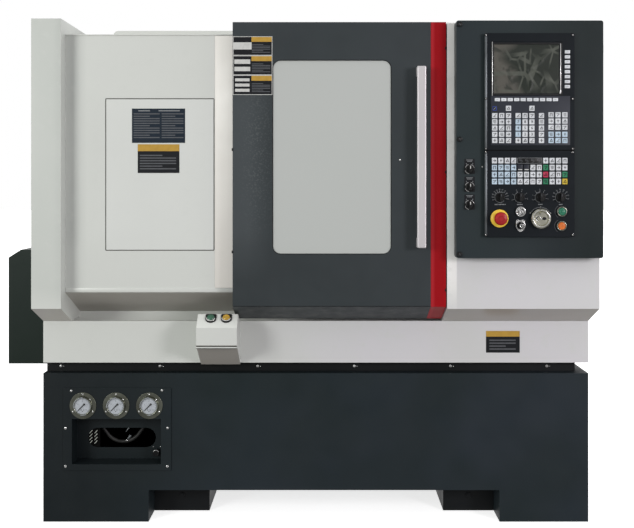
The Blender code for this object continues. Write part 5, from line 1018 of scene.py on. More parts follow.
def key_membrane():
    """The membrane that the screen unit's keys come through, with a small framed sign at its upper left."""
    sheet = Piece("key_membrane", "control_panel", "panel_plastic")
    (low_x, high_x), (low_z, high_z) = MEMBRANE_SIDES, MEMBRANE_HEIGHTS
    outline = rounded_outline(high_x - low_x, high_z - low_z, 0.002)
    seat = on_screen_unit((low_x + high_x) / 2, (low_z + high_z) / 2)
    sheet.add(outline_plate(outline, 0, MEMBRANE_THICKNESS, SKIN), "membrane", seat)
    sign = on_screen_unit(LETTER_BLOCK, SCREEN_KEY_BOTTOM + SCREEN_KEY_PITCH_Z * SCREEN_KEY_ROWS + 0.003)
    levels = (MEMBRANE_THICKNESS, 0.0009)
    sheet.add(frame_outline(0.0125, 0.0125, 0.0022, 0.0012, *levels), "ink_blue", sign)
    sheet.add(stroke(-0.003, -0.003, 0.003, 0.003, MARK_WIDTH, *levels), "ink_pale", sign)
    sheet.done()


def display_edge_lines():
    """A dark surround of the display as painted shade of its recess, and the bright lines beside it."""
    low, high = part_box("cnc_display")
    lines = Piece("display_edge_lines", "control_panel", "machined_steel")
    face = FRONT_Y + UNIT_FRONT
    middle_x, middle_z = (low.x + high.x) / 2, (low.z + high.z) / 2
    size = (high.x - low.x + 0.0150, high.z - low.z + 0.0110)
    # Painted shade: a black frame, set a little right and down, for the shadow round the recessed display
    surround = frame_outline(*size, 0.003, 0.0046, -0.0004, 0.0003)
    lines.add(surround, "knob", facing(Vector((middle_x + 0.0015, face, middle_z - 0.0005))))
    for x, spare in ((low.x - 0.0045, 0.0155), (high.x + 0.0035, 0.0040)):
        seat = facing(Vector((x, face + 0.0004, middle_z)))
        lines.add(slab(0.0022, high.z - low.z + spare, 0, 0.0013, 0.0005), "rail_steel", seat)
    bend = facing(Vector((high.x + 0.0022, face + 0.0004, low.z + 0.004)))
    lines.add(slab(0.0034, 0.0110, 0, 0.0014, 0.0008), "rail_steel", bend, turn=-14)
    lines.done()


def display_sheet():
    """The creased protective film over the display, as a finely folded surface."""
    low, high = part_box("cnc_display")
    columns, rows, margin = 96, 72, 0.0008
    shape = bmesh.new()
    grid = []
    for j in range(rows + 1):
        line = []
        for i in range(columns + 1):
            u, v = i / columns, j / rows
            edge = min(1.0, min(u, v, 1 - u, 1 - v) * 14)
            crease = 0.0
            for k in range(9):
                lean = 0.7 + 1.9 * math.sin(k * 12.9)
                along = math.cos(lean) * (u - 0.5) + math.sin(lean) * (v - 0.5)
                across = -math.sin(lean) * (u - 0.5) + math.cos(lean) * (v - 0.5)
                across += 0.04 * math.sin(along * 9 + k * 2.1) - 0.36 * math.sin(k * 4.7)
                crease += math.exp(-((across / 0.022) ** 2)) * max(0.0, math.cos(along * 2.6 + k * 1.7))
            depth = 0.0004 + 0.0007 * min(1.0, crease) * edge
            x = low.x + margin + (high.x - low.x - margin * 2) * u
            z = low.z + margin + (high.z - low.z - margin * 2) * v
            line.append(shape.verts.new((x, low.y - depth, z)))
        grid.append(line)
    for here, there in zip(grid, grid[1:]):
        for i in range(columns):
            shape.faces.new((here[i], here[i + 1], there[i + 1], there[i]))
    corners = (grid[0][0], grid[0][-1], grid[-1][-1], grid[-1][0])
    back = [shape.verts.new(Vector((v.co.x, low.y - SKIN, v.co.z))) for v in corners]
    border = (
        grid[0], [line[-1] for line in grid], list(reversed(grid[-1])), [line[0] for line in reversed(grid)],
    )
    for number, side in enumerate(border):
        shape.faces.new([back[(number + 1) % 4], *reversed(side), back[number]])
    shape.faces.new(back)
    bmesh.ops.recalc_face_normals(shape, faces=shape.faces)
    Piece("display_film_sheet", "control_panel", "screen_glass").add(shape, "film", smooth=True).done()


# Each selector: its place across, number of scale marks, the arc's start and end, and its legend's length
SELECTORS = (
    (0.044, 11, 60, 320, 0.034),
    (0.103, 6, 110, 290, 0.018),
    (0.165, 7, 95, 262, 0.014),
    (0.226, 9, 95, 262, 0.011),
)
SELECTOR_Z = 0.119
SCALE_FROM, SCALE_TO = 200, -12


def selector_scales():
    """Printed scales round the four selectors: an arc, ticks, numbers and a legend bar."""
    piece = Piece("selector_scales", "control_panel", "panel_plastic")
    top = SKIN + 0.0003
    for x, marks, arc_from, arc_to, legend in SELECTORS:
        seat = on_key_unit(x, SELECTOR_Z)
        piece.add(arc_band(0.0152, 0.0163, arc_from, arc_to, 0, top), "ink_pale", seat)
        for i in range(marks):
            angle = SCALE_FROM + (SCALE_TO - SCALE_FROM) * i / (marks - 1)
            piece.add(tick(angle, 0.0176, 0.0200, 0.0012, 0, top), "ink_pale", seat)
            place_x, place_y = polar(0.0236, angle)
            figure = str(i * 10 if marks > 8 else i)
            piece.add(digits(figure, 0.0050, 0, top), "ink_pale", seat, x=place_x, y=place_y)
        letters = max(3, round(legend / 0.0045))
        for i in range(letters):
            across = legend * ((i + 0.5) / letters - 0.5)
            piece.add(slab(legend / letters * 0.72, 0.0026, 0, top), "ink_pale", seat, x=across, y=-0.0215)
    piece.done()


def pointer(name, body, width, length, y, material="ink_white", extra=None):
    """A pointer line let into a knob's top, riding on the knob."""
    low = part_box(name)[0]
    piece = Piece(name + "_pointer", body, "knob_plastic")
    piece.add(slab(width, length, -SKIN, 0.0005, 0.0003), material, front_of(name), y=y)
    if extra:
        piece.add(extra, "knob", front_of(name), z=low.y - FRONT_Y - UNIT_FRONT, smooth=True)
    piece.done()


def knobs():
    """Pointer lines on the seven rotary knobs, and the skirts of the selectors."""
    for number in range(1, 5):
        name = f"feed_selector_{number}"
        skirt = ring(0.0108, 0.0134, 0.0078, 0.0086, 28)
        pointer(name, name + "_body", 0.0014, 0.0070, 0.0060, "ink_grey", skirt)
    for number in range(1, 4):
        name = f"mode_switch_{number}"
        pointer(name, name + "_body", 0.0024, 0.0090, 0.0050)


def mode_switch_plates():
    """Black legend plates behind the three rotary switches, with bright bezels and plain bars."""
    piece = Piece("mode_switch_plates", "control_panel", "panel_plastic")
    for number in range(1, 4):
        centre = sum(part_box(f"mode_switch_{number}"), Vector()) / 2
        seat = facing(Vector((centre.x, FRONT_Y + PANEL_FRONT, centre.z)))
        field = outline_plate(rounded_outline(0.0315, 0.046, 0.002), 0.0001, 0.0004)
        piece.add(field, "ink_black", seat, y=0.008)
        piece.add(ring(0.0129, 0.0150, 0.0003, 0.0024, 32), "knob", seat, smooth=True)
        for start, end in ((15, 75), (195, 262), (105, 160)):
            piece.add(arc_band(0.0134, 0.0148, start, end, 0.0022, 0.0029, 12), "chrome", seat)
        for y, width in ((0.0275, 0.020), (0.0238, 0.015)):
            piece.add(slab(width, 0.0017, 0.0004, 0.0006), "ink_pale", seat, y=y)
        for angle in (60, 120):
            piece.add(tick(angle, 0.0170, 0.0200, 0.0012, 0.0004, 0.0006), "ink_pale", seat)
    piece.done()


# The middles of the push buttons and the key switch, from the key unit's lower left corner
RESET_PLACE = (0.105, 0.076)
START_PLACE = (0.229, 0.076)
HOLD_PLACE = (0.228, 0.033)
KEY_SWITCH_PLACE = (0.105, 0.034)


def button_rings():
    """Turned metal bezels round the push buttons, painted shadow arcs at the left of two of them, and the key
    switch's lobed collar.
    """
    piece = Piece("panel_button_rings", "control_panel", "machined_steel")
    for place, metal in ((RESET_PLACE, "chrome"), (START_PLACE, "gauge_metal"), (HOLD_PLACE, "gauge_metal")):
        piece.add(ring(0.0118, 0.0151, 0.0040, 0.0066, 36, 0.0008), metal, on_key_unit(*place), smooth=True)
    # Painted shadow: dark arcs round the left side of the start and hold buttons
    for place in (START_PLACE, HOLD_PLACE):
        for radius, ink in ((0.0180, "knob"), (0.0205, "ink_grey")):
            band = arc_band(radius - 0.0011, radius, 120, 238, 0, 0.0006)
            piece.add(band, ink, on_key_unit(*place))
    steps = 72
    lobes = []
    for i in range(steps):
        angle = math.tau * i / steps
        reach = 0.0142
        for lobe, width, height in ((58, 20, 0.0062), (122, 20, 0.0062), (270, 30, 0.0040)):
            apart = (math.degrees(angle) - lobe + 180) % 360 - 180
            reach += height * math.exp(-((apart / width) ** 2))
        lobes.append((reach * math.cos(angle), reach * math.sin(angle)))
    seat = on_key_unit(*KEY_SWITCH_PLACE)
    piece.add(washer(lobes, circle_points(0.0112, steps), 0.0, 0.0030), "rail_steel", seat)
    piece.add(ring(0.0126, 0.0141, 0.0026, 0.0040, 40), "chrome", seat, smooth=True)
    for x, y in ((-0.0098, 0.0156), (0.0098, 0.0156)):
        piece.add(dome(0.0018, 0.0004, 0.0029, 14, 2), "knob", seat, x=x, y=y, smooth=True)
    piece.done()


def button_faces():
    """What is seen on the caps: lens rings, the reset button's marks and the key switch's barrel."""
    for name, color in (("cycle_start_button", "lens_green"), ("feed_hold_button", "lens_orange")):
        piece = Piece(name.replace("_button", "_cap"), name + "_body", "button_green")
        piece.add(ring(0.0058, 0.0080, -0.0002, 0.0005, 28), color, front_of(name), smooth=True)
        piece.add(dome(0.0035, 0.0006, -0.0001, 16, 3), color, front_of(name), smooth=True)
        piece.done()
    piece = Piece("reset_cap_marks", "reset_button_body", "machined_steel")
    seat = front_of("reset_button")
    for start, end in ((20, 100), (150, 215), (265, 320)):
        piece.add(arc_band(0.0068, 0.0092, start, end, -SKIN, 0.0004, 12), "knob", seat)
    piece.add(slab(0.0024, 0.0080, -SKIN, 0.0005, 0.0002), "knob", seat, y=-0.0006)
    piece.add(ring(0.0030, 0.0048, -SKIN, 0.0006, 24), "chrome", seat, smooth=True)
    piece.done()
    barrel = Piece("key_switch_barrel", "key_switch_body", "machined_steel")
    seat = front_of("key_switch")
    barrel.add(ring(0.0030, 0.0060, -SKIN, 0.0006, 28), "chrome", seat, smooth=True)
    barrel.add(dome(0.0030, 0.0003, -SKIN, 20, 3), "edge_metal", seat, smooth=True)
    barrel.add(slab(0.0010, 0.0062, 0.0, 0.0007), "knob", seat)
    barrel.done()


def handwheel_details():
    """The hand wheel's knurled rim, its dished face with two sunk grips, and its scale on the unit."""
    low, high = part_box("handwheel")
    centre = Vector(((low.x + high.x) / 2, FRONT_Y + UNIT_FRONT, (low.z + high.z) / 2))
    radius = (high.x - low.x) / 2
    seat = facing(centre)
    wheel = Piece("handwheel_rim", "handwheel_body", "machined_steel")
    steps = 144
    teeth = circle_points(radius + SKIN, steps, 0.0006)
    wheel.add(washer(teeth, circle_points(radius - 0.0006, steps), 0.0030, 0.0125), "wheel_metal", seat)
    face = 0.0122
    wheel.add(ring(radius * 0.82, radius * 0.90, 0.0150, 0.0165, 48), "chrome", seat, smooth=True)
    wheel.add(arc_band(0.0044, 0.0068, 70, 290, face, face + 0.0006, 18), "knob", seat, x=-0.0085)
    wheel.add(ring(0.0068, 0.0080, face - SKIN, face + 0.0008, 28), "chrome", seat, x=-0.0085, smooth=True)
    oval = outline_plate([(x * 1.35, y) for x, y in circle_points(0.0046, 24)], face, face + 0.0006)
    wheel.add(oval, "knob", seat, x=0.0092)
    wheel.add(machine_screw(0.0030), "steel", seat, z=face, smooth=True)
    wheel.done()
    scale = Piece("handwheel_scale", "control_panel", "panel_plastic")
    top = SKIN * 2
    scale.add(arc_band(0.0335, 0.0342, 28, 152, 0, top, 40), "ink_pale", seat)
    for i in range(32):
        scale.add(tick(30 + i * 3.87, 0.0318, 0.0336, 0.0005, 0, top), "ink_grey", seat)
    for angle, size in ((28, 0.0016), (90, 0.0010), (152, 0.0012)):
        x, y = polar(0.0345, angle)
        scale.add(dome(size, 0.0007, 0, 12, 3), "ink_white", seat, x=x, y=y)
    scale.done()


def estop_details():
    """A groove ring and turn marks on the emergency stop's head."""
    piece = Piece("estop_head_ring", "estop_button_body", "estop_red")
    seat = front_of("estop_button")
    piece.add(ring(0.0072, 0.0084, -0.0009, 0.0, 36), "estop_red", seat, smooth=True)
    for i in range(3):
        band = arc_band(0.0108, 0.0122, 20 + i * 120, 95 + i * 120, -0.0022, -0.0004, 14)
        piece.add(band, "estop_red", seat)
    piece.done()


PANEL_LAMP_PLACE = (0.5045, PANEL_FRONT, 1.1320)


def panel_locks():
    """Black quarter-turn inserts in the three locks, and a lamp beside the switches."""
    piece = Piece("panel_lock_inserts", "control_panel", "knob_plastic")
    low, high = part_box("control_door")
    for z in (low.z + 0.012, (low.z + high.z) / 2, high.z - 0.012):
        seat = facing(Vector((low.x + 0.010, FRONT_Y + PANEL_FRONT - 0.004, z)))
        piece.add(ring(0.0046, 0.0078, -0.0036, 0.0006, 24), "knob", seat, smooth=True)
        piece.add(dome(0.0047, 0.0003, -0.0001, 20, 3), "knob", seat, smooth=True)
        piece.add(slab(0.0014, 0.0070, 0.0, 0.0005), "ink_grey", seat, turn=35)
    piece.add(dome(0.0022, 0.0012, 0, 14, 3), "ink_white", facing(at(*PANEL_LAMP_PLACE)))
    piece.done()


# Sliding door

# The height of the line where the door's lower edge is folded back
DOOR_FOLD = 0.7052


def plate(piece, x, z, front, field, header=None, border=True, bars=(), shapes=()):
    """A plain printed plate: a dark field with a pale border, a band of colour, pale bars and simple shapes.

    The header gives the shares of the width where it starts and ends, and the share of the height it takes.
    Each of the bars gives the shares of width and height where a block of lines lies, and how many lines.
    Each shape gives two points in shares of the plate's size, and its width as a share of the height.
    """
    width, height = x[1] - x[0], z[1] - z[0]
    seat = facing(at((x[0] + x[1]) / 2, front, (z[0] + z[1]) / 2))
    piece.add(slab(width, height, 0, PLATE * 0.5, SKIN, 1), "ink_white" if border else field, seat)
    band = 0.0018 if border else 0.0
    width, height = width - band * 2, height - band * 2
    piece.add(slab(width, height, PLATE * 0.4, PLATE * 0.75), field, seat)
    levels = (PLATE * 0.7, PLATE)
    if header:
        start, end, tall = header
        y = height * (0.5 - tall / 2)
        across = width * ((start + end) / 2 - 0.5)
        piece.add(slab(width * (end - start), height * tall, *levels), "ink_ochre", seat, x=across, y=y)
    for left, right, low, high, rows, ink in bars:
        for row in range(rows):
            y = height * (low + (high - low) * (row + 0.5) / rows - 0.5)
            length = width * (right - left) * (0.62 if row % 4 == 1 else 1.0)
            across = width * (left - 0.5) + length / 2
            thick = height * (high - low) / rows * 0.42
            piece.add(slab(length, thick, *levels), ink, seat, x=across, y=y)
    for x0, y0, x1, y1, thick in shapes:
        start_x, end_x = width * (x0 - 0.5), width * (x1 - 0.5)
        start_y, end_y = height * (y0 - 0.5), height * (y1 - 0.5)
        piece.add(stroke(start_x, start_y, end_x, end_y, height * thick, *levels), "ink_white", seat)


# Plain bars on the door's plates, one more on each plate, from point to point in shares of the plate
PLATE_SHAPE_SHARES = (
    ((0.08, 0.50, 0.38, 0.50, 0.40),),
    ((0.08, 0.70, 0.38, 0.70, 0.24), (0.08, 0.30, 0.38, 0.30, 0.24)),
    ((0.08, 0.78, 0.38, 0.78, 0.16), (0.08, 0.50, 0.38, 0.50, 0.16), (0.08, 0.22, 0.38, 0.22, 0.16)),
)


# The sides of the door's plates, and each plate's lower and upper edge
DOOR_PLATE_SIDES = (-0.2530, -0.1320)
DOOR_PLATE_HEIGHTS = ((1.4745, 1.5330), (1.4144, 1.4741), (1.3535, 1.4140))


# How far the door's sheet laps over the pane, and the heights of the buffers at its right and left edge
WINDOW_LAP = 0.015
RIGHT_BUFFERS = (1.497, 1.117, 0.755)
LEFT_BUFFERS = (0.8716, 1.1860)
DOOR_SCREW_PLACE = (0.2596, DOOR_FRONT, 1.1538)


def window_seal():
    """The dark seal round the window, with the pane's edge inside it."""
    low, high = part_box("door_window")
    seal = Piece("window_seal", "front_door", "rubber_black")
    size = (high.x - low.x - WINDOW_LAP * 2, high.z - low.z - WINDOW_LAP * 2)
    seal.add(frame_outline(*size, 0.025, 0.0022, 0.0002, 0.0022), "knob", front_of("door_window"))
    inner = frame_outline(size[0] - 0.004, size[1] - 0.004, 0.023, 0.0016, 0.0002, 0.0012)
    seal.add(inner, "window", front_of("door_window"))
    seal.done()


def door_buffers():
    """The door's screw, its rubber buffers and the line where its lower edge is folded back."""
    screws("door_screw", "front_door", "machined_steel", [facing(at(*DOOR_SCREW_PLACE))], 0.0034)
    trim = Piece("door_buffers", "front_door", "rubber_black")
    low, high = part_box("door_panel")
    for z in LEFT_BUFFERS:
        trim.add(slab(0.0060, 0.0085, -0.0040, 0.0006, 0.0012), "knob", facing(Vector((low.x, low.y, z))))
    for z in RIGHT_BUFFERS:
        trim.add(slab(0.0046, 0.0085, SKIN, 0.0010, 0.0004), "knob", facing(at(0.3995, DOOR_FRONT, z)))
    width = high.x - low.x - 0.004
    seat = facing(Vector(((low.x + high.x) / 2, low.y, DOOR_FOLD)))
    trim.add(slab(width, 0.0014, SKIN, 0.0006), "knob", seat)
    trim.done()


def door_plates():
    """Three plain plates at the door's upper left."""
    plates = Piece("door_plates", "front_door", "door_paint")
    for heights, shapes in zip(DOOR_PLATE_HEIGHTS, PLATE_SHAPE_SHARES):
        plate(
            plates, DOOR_PLATE_SIDES, heights, DOOR_FRONT, "ink_black", header=(0.47, 1.0, 0.27),
            bars=((0.48, 0.96, 0.10, 0.62, 6, "ink_grey"),), shapes=shapes,
        )
    plates.done()


# Enclosure


def cover_plates():
    """Plain plates on the access cover and on the apron."""
    piece = Piece("cover_plates", "machine", "white_paint")
    columns = (
        (0.03, 0.52, 0.12, 0.88, 11, "ink_grey"), (0.56, 0.97, 0.12, 0.88, 11, "ink_grey"),
        (0.12, 0.34, 0.90, 0.97, 1, "ink_pale"), (0.50, 0.90, 0.90, 0.97, 1, "ink_pale"),
    )
    six_lines = ((0.05, 0.92, 0.10, 0.66, 6, "ink_grey"),)
    four_lines = ((0.10, 0.88, 0.10, 0.64, 4, "ink_grey"),)
    for sides, heights, front, field, header, bars in (
        ((-0.5724, -0.4068), (1.2086, 1.3156), RECESS_FRONT, "ink_navy", None, columns),
        ((-0.5544, -0.4246), (1.1147, 1.2042), RECESS_FRONT, "ink_black", (0.0, 1.0, 0.24), six_lines),
        ((0.5447, 0.6525), (0.5410, 0.6105), APRON_FRONT, "ink_black", (0.0, 1.0, 0.26), four_lines),
    ):
        plate(piece, sides, heights, front, field, header, False, bars)
    piece.done()


# The recess between the left post and the place behind the door, and where its slightly raised strip begins
POST_RIGHT = -0.7805
RECESS_RIGHT = -0.155
STRIP_LEFT = -0.3145
STRIP_HEIGHTS = (0.7565, 1.5425)
COVER_GAP_WIDTH = 0.0024
STAND_RIM_INSET = 0.0122
STAND_RIM_WIDTH = 0.060
STAND_RIM_DEPTH = 0.0060


def recess_folds():
    """Folds along the recess's upper and lower edge, and the strip that leans out beside the door."""
    wide = RECESS_RIGHT - POST_RIGHT - 0.002
    middle = (POST_RIGHT + RECESS_RIGHT) / 2
    folds = Piece("recess_folds", "machine", "white_paint")
    folds.add(slab(wide, 0.0032, 0, 0.0020, 0.0008), "white", facing(at(middle, RECESS_FRONT, 1.5450)))
    folds.add(slab(wide, 0.0130, -0.0010, 0.0020, 0.0009), "white", facing(at(middle, RECESS_FRONT, 0.7492)))
    points = [(STRIP_LEFT, 0), (STRIP_LEFT + 0.0015, 0.0012), (RECESS_RIGHT, 0.0040), (RECESS_RIGHT, 0)]
    shape = bmesh.new()
    rings = [[shape.verts.new(at(x, RECESS_FRONT - y, z)) for x, y in points] for z in STRIP_HEIGHTS]
    bridge(shape, rings)
    shape.faces.new(list(reversed(rings[0])))
    shape.faces.new(rings[1])
    bmesh.ops.recalc_face_normals(shape, faces=shape.faces)
    folds.add(shape, "warm_white")
    folds.done()


def access_cover_gap():
    """The dark gap round the access cover."""
    low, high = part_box("access_cover")
    gap = Piece("access_cover_gap", "machine", "rubber_black")
    size = (high.x - low.x + 0.0052, high.z - low.z + 0.0052)
    shape = frame_outline(*size, 0.0030, COVER_GAP_WIDTH, -SKIN, 0.0003)
    gap.add(shape, "gap", front_of("access_cover"))
    gap.done()


def stand_top_rim():
    """The rim of sheet round the stand's open top."""
    rim = Piece("stand_top_rim", "machine", "dark_paint")
    width = STAND_HIGH.x - STAND_LOW.x - STAND_RIM_INSET * 2
    depth = STAND_HIGH.y - STAND_LOW.y - STAND_RIM_INSET * 2
    seat = facing(Vector((MIDDLE_X, (STAND_LOW.y + STAND_HIGH.y) / 2, STAND_HIGH.z)), UP)
    rim.add(frame_outline(width, depth, 0.004, STAND_RIM_WIDTH, -STAND_RIM_DEPTH, -SKIN), "base", seat)
    rim.done()


# Where the plinth's bolts are across it
PLINTH_BOLT_XS = (-0.8217, -0.5012, -0.1846, 0.1280, 0.4391, 0.7511)


def plinth_bolts():
    """Small bright jacking bolts with their lock screws along the plinth."""
    piece = Piece("plinth_bolts", "machine", "machined_steel")
    for x in PLINTH_BOLT_XS:
        seat = facing(at(x, PLINTH_FRONT, 0.4910))
        head = outline_plate(circle_points(0.0034, 6), 0, 0.0034, 0.0006)
        piece.add(head, "chrome", seat, x=-0.0036)
        piece.add(ring(0.0012, 0.0044, 0, 0.0008, 20), "rail_steel", seat, x=-0.0036, smooth=True)
        piece.add(machine_screw(0.0021), "chrome", seat, x=0.0050, smooth=True)
    piece.done()


# Push button box

# Where the buttons' axes meet the box's slope, from the stand's front and the floor
BOX_BUTTON_Y = -0.0907
BOX_BUTTON_Z = 0.6617
BEZEL_RADIUS = 0.0170
BEZEL_HOLE_RADIUS = 0.0150
BOX_JOINT_HEIGHTS = (0.5813, 0.5747)


def button_box_details():
    """Black bezels open towards the box's shoulder, metal rings, and the lid's flange with its joints."""
    bezels = Piece("box_button_bezels", "machine", "panel_plastic")
    for name, color, slot in (
        ("coolant_start_button", "lens_dark_green", "button_dark_green"),
        ("coolant_stop_button", "lens_yellow", "button_yellow"),
    ):
        joint = next(j for j in frame["joints"] if j["child"] == name + "_body")
        cap_low, cap_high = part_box(name)
        foot = Vector(((cap_low.x + cap_high.x) / 2, FRONT_Y + BOX_BUTTON_Y, BOX_BUTTON_Z))
        seat = facing(foot, -Vector(joint["axis"]))
        outline = []
        for x, y in circle_points(1.0, 48):
            corner = min(1.30, 1 / max(abs(x), abs(y))) if y > 0 else 1.0
            outline.append((x * BEZEL_RADIUS * corner, y * BEZEL_RADIUS * corner))
        bezels.add(washer(outline, circle_points(BEZEL_HOLE_RADIUS, 48), SKIN, 0.0036), "knob", seat)
        bezels.add(ring(0.0118, 0.0151, 0.0036, 0.0068, 36, 0.0010), "knob", seat, smooth=True)
        bezels.add(arc_band(0.0119, 0.0150, 185, 345, 0.0064, 0.0072), "chrome", seat)
        cap = Piece(name.replace("_button", "_cap"), name + "_body", slot)
        cap.add(ring(0.0056, 0.0076, 0.0093, 0.0100, 28), color, seat, smooth=True)
        cap.done()
    bezels.done()
    low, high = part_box("button_box")
    trim = Piece("box_flange", "machine", "rubber_black")
    for z in BOX_JOINT_HEIGHTS:
        seat = facing(Vector(((low.x + high.x) / 2, low.y, z)))
        trim.add(slab(high.x - low.x - 0.001, 0.0018, -0.0030, -0.0004), "gap", seat)
    trim.done()


# Gauges

GAUGE_NODES = ("pressure_gauge_left", "pressure_gauge_middle", "pressure_gauge_right")
DIAL_RADIUS = 0.0254
NEEDLE_ANGLE = 225


def gauge(node, number):
    """A flanged pressure gauge: plated flange, bezel with painted highlights, printed dial, needle and glass.
    """
    low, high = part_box(node)
    centre = Vector(((low.x + high.x) / 2, FRONT_Y, (low.z + high.z) / 2))
    rim = FRONT_Y - low.y
    flange = rim - 0.0115
    face = rim - 0.0044
    seat = facing(centre)
    piece = Piece(f"gauge_{number}", "machine", "gauge_steel")
    body = [
        (0, -0.040), (0.007, -0.040), (0.007, -0.028), (0.029, -0.028), (0.030, -0.026), (0.030, flange),
        (0.0418, flange), (0.0425, flange + 0.0006), (0.0425, flange + 0.0018), (0.0418, flange + 0.0025),
        (0.0312, flange + 0.0027), (0.0304, flange + 0.0040), (0.0298, rim - 0.0028), (0.0290, rim - 0.0008),
        (0.0280, rim), (0.0268, rim - 0.0003), (0.0258, rim - 0.0014), (0.0255, face), (0, face),
    ]
    piece.add(lathe(body, 56), "gauge_metal", seat, smooth=True)
    # Painted highlights: pale arcs on the bezel's rim at its upper left and bottom
    for start, end in ((88, 190), (258, 296)):
        piece.add(arc_band(0.0270, 0.0288, start, end, rim - 0.0006, rim - 0.0001, 18), "dial", seat)
    top = face + 0.0004
    piece.add(lathe([(0, face), (DIAL_RADIUS, face), (DIAL_RADIUS, top), (0, top)], 48), "dial", seat)
    print_levels = (top, top + 0.0001)
    for i in range(41):
        angle = NEEDLE_ANGLE - 270 * i / 40
        inner = 0.0195 if i % 10 == 0 else (0.0208 if i % 5 == 0 else 0.0216)
        wide = 0.0007 if i % 10 == 0 else 0.0004
        piece.add(tick(angle, inner, 0.0230, wide, *print_levels), "ink_dark", seat)
        if i % 10 == 0:
            x, y = polar(0.0158, angle)
            piece.add(digits(str(i // 10 * 4), 0.0052, *print_levels), "ink_grey", seat, x=x, y=y)
    piece.add(arc_band(0.0231, 0.0235, -45, 225, *print_levels, 40), "ink_dark", seat)
    for x, y in ((-0.0042, -0.0120), (0.0042, -0.0120), (0, -0.0165)):
        piece.add(slab(0.0032, 0.0024, *print_levels), "ink_grey" if x == 0 else "ink_black", seat, x=x, y=y)
    edge = [(-0.0080, -0.0015), (0.0, -0.0015), (0.0215, -0.0009)]
    needle = edge + [(x, -y) for x, y in reversed(edge)]
    piece.add(outline_plate(needle, top + 0.0012, top + 0.0018), "ink_black", seat, turn=NEEDLE_ANGLE)
    tail_x, tail_y = polar(0.0080, NEEDLE_ANGLE - 180)
    piece.add(dome(0.0036, 0.0012, top + 0.0010, 20, 4), "knob", seat, x=tail_x, y=tail_y, smooth=True)
    piece.add(dome(0.0020, 0.0022, top, 20, 4), "knob", seat, smooth=True)
    for angle in (90, 210, 330):
        x, y = polar(0.0368, angle)
        piece.add(machine_screw(0.0031), "chrome", seat, x=x, y=y, z=flange + 0.0024, smooth=True)
    x, y = polar(0.0300, 42)
    piece.add(dome(0.0036, 0.0030, flange + 0.0030, 18, 4), "chrome", seat, x=x, y=y, smooth=True)
    piece.done(replaces=(node,))
    glass = Piece(f"gauge_glass_{number}", "machine", "gauge_steel")
    curve = ((DIAL_RADIUS, 0.0022), (0.018, 0.0017), (0.009, 0.0014), (0, 0.0013))
    glass.add(lathe([(radius, rim - depth) for radius, depth in curve], 48), "glass", seat, smooth=True)
    glass.done()


# Where the gauge panel's screws are, from the stand's middle and the floor
GAUGE_PANEL_SCREWS = (
    (-0.7816, 0.4197), (-0.4917, 0.4210), (-0.8000, 0.3002),
    (-0.4735, 0.3010), (-0.8000, 0.1782), (-0.4743, 0.1782),
)
# The two bars of the hose's fitting behind the slot: width, length, depth, rounding and place
FITTING_BARS = (
    (0.0034, 0.0230, -0.003, 0.0015, (-0.6155, 0.0700, 0.2780)),
    (0.0075, 0.0170, -0.004, 0.0020, (-0.6115, 0.0700, 0.2510)),
)


# The vents behind the slot: the dark plate's place and size, the plate being painted shade, then the slits'
# pitches, size and lean
VENT_PLACE = (-0.7284, 0.0688, 0.2530)
VENT_SIZE = (0.044, 0.066)
SLIT_SIZE = (0.0017, 0.0135)
SLIT_SIDE = 0.0082
SLIT_TOP = 0.0168
SLIT_PITCH = 0.0112
SLIT_ROWS = 4
SLIT_LEAN = -42


def gauge_panel_screws():
    seats = [facing(at(x, GAUGE_PANEL_FRONT, z)) for x, z in GAUGE_PANEL_SCREWS]
    screws("gauge_panel_screws", "machine", "machined_steel", seats, 0.0044)


def slot_vents():
    """Two columns of slanted vents, seen through the stand's slot: a near-black plate as painted shade and
    slits that glow as painted light.
    """
    vent = Piece("slot_vents", "machine", "gauge_steel")
    seat = facing(at(*VENT_PLACE))
    # Painted shade behind the slits, and painted light in them
    vent.add(slab(*VENT_SIZE, -0.0016, 0.0, 0.0004, 1), "void", seat)
    for side in (-1, 1):
        for row in range(SLIT_ROWS):
            shape = slab(*SLIT_SIZE, -SKIN, PLATE, 0.0003, 1)
            vent.add(shape, "slit", seat, x=side * SLIT_SIDE, y=SLIT_TOP - row * SLIT_PITCH, turn=SLIT_LEAN)
    vent.done()


def hose_fittings():
    """What is seen of the hose's fitting behind the slot."""
    fitting = Piece("hose_fittings", "machine", "machined_steel")
    for width, length, deep, edge, place in FITTING_BARS:
        fitting.add(slab(width, length, deep, 0.001, edge), "edge_metal", facing(at(*place)), turn=-38)
    fitting.add(dome(0.0034, 0.003, 0, 16, 4), "chrome", facing(at(-0.6190, 0.0690, 0.2420)), smooth=True)
    fitting.done()


def regulator_details():
    """The regulator knob's grooved collar, and the two screws behind it."""
    collar = Piece("regulator_collar", "regulator_knob_body", "machined_steel")
    seat = front_of("regulator_knob")
    collar.add(ring(0.0078, 0.0108, -0.0040, 0.0006, 32), "knob", seat, smooth=True)
    collar.add(arc_band(0.0086, 0.0107, 25, 155, 0.0004, 0.0011, 16), "chrome", seat)
    for i in range(18):
        x, y = polar(0.0110, i * 20)
        collar.add(slab(0.0012, 0.0018, -0.0130, -0.0050, 0.0003, 1), "knob", seat, x=x, y=y, turn=i * 20)
    collar.done()
    low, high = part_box("regulator_knob")
    middle = (low + high) / 2
    seats = [
        facing(Vector((middle.x + side * 0.0115, high.y - 0.0003, middle.z + 0.0160))) for side in (-1, 1)
    ]
    screws("regulator_screws", "machine", "machined_steel", seats, 0.0019)


# The hose's route behind the gauges: places in shares of the half span, of the reach and of the sag
HOSE_SHARES = (
    (-0.85, 0.92, 0.35), (-0.45, 1.0, 0.86), (0.0, 1.0, 1.0), (0.45, 1.0, 0.86), (0.85, 0.92, 0.35),
)
HOSE_RADIUS = 0.006


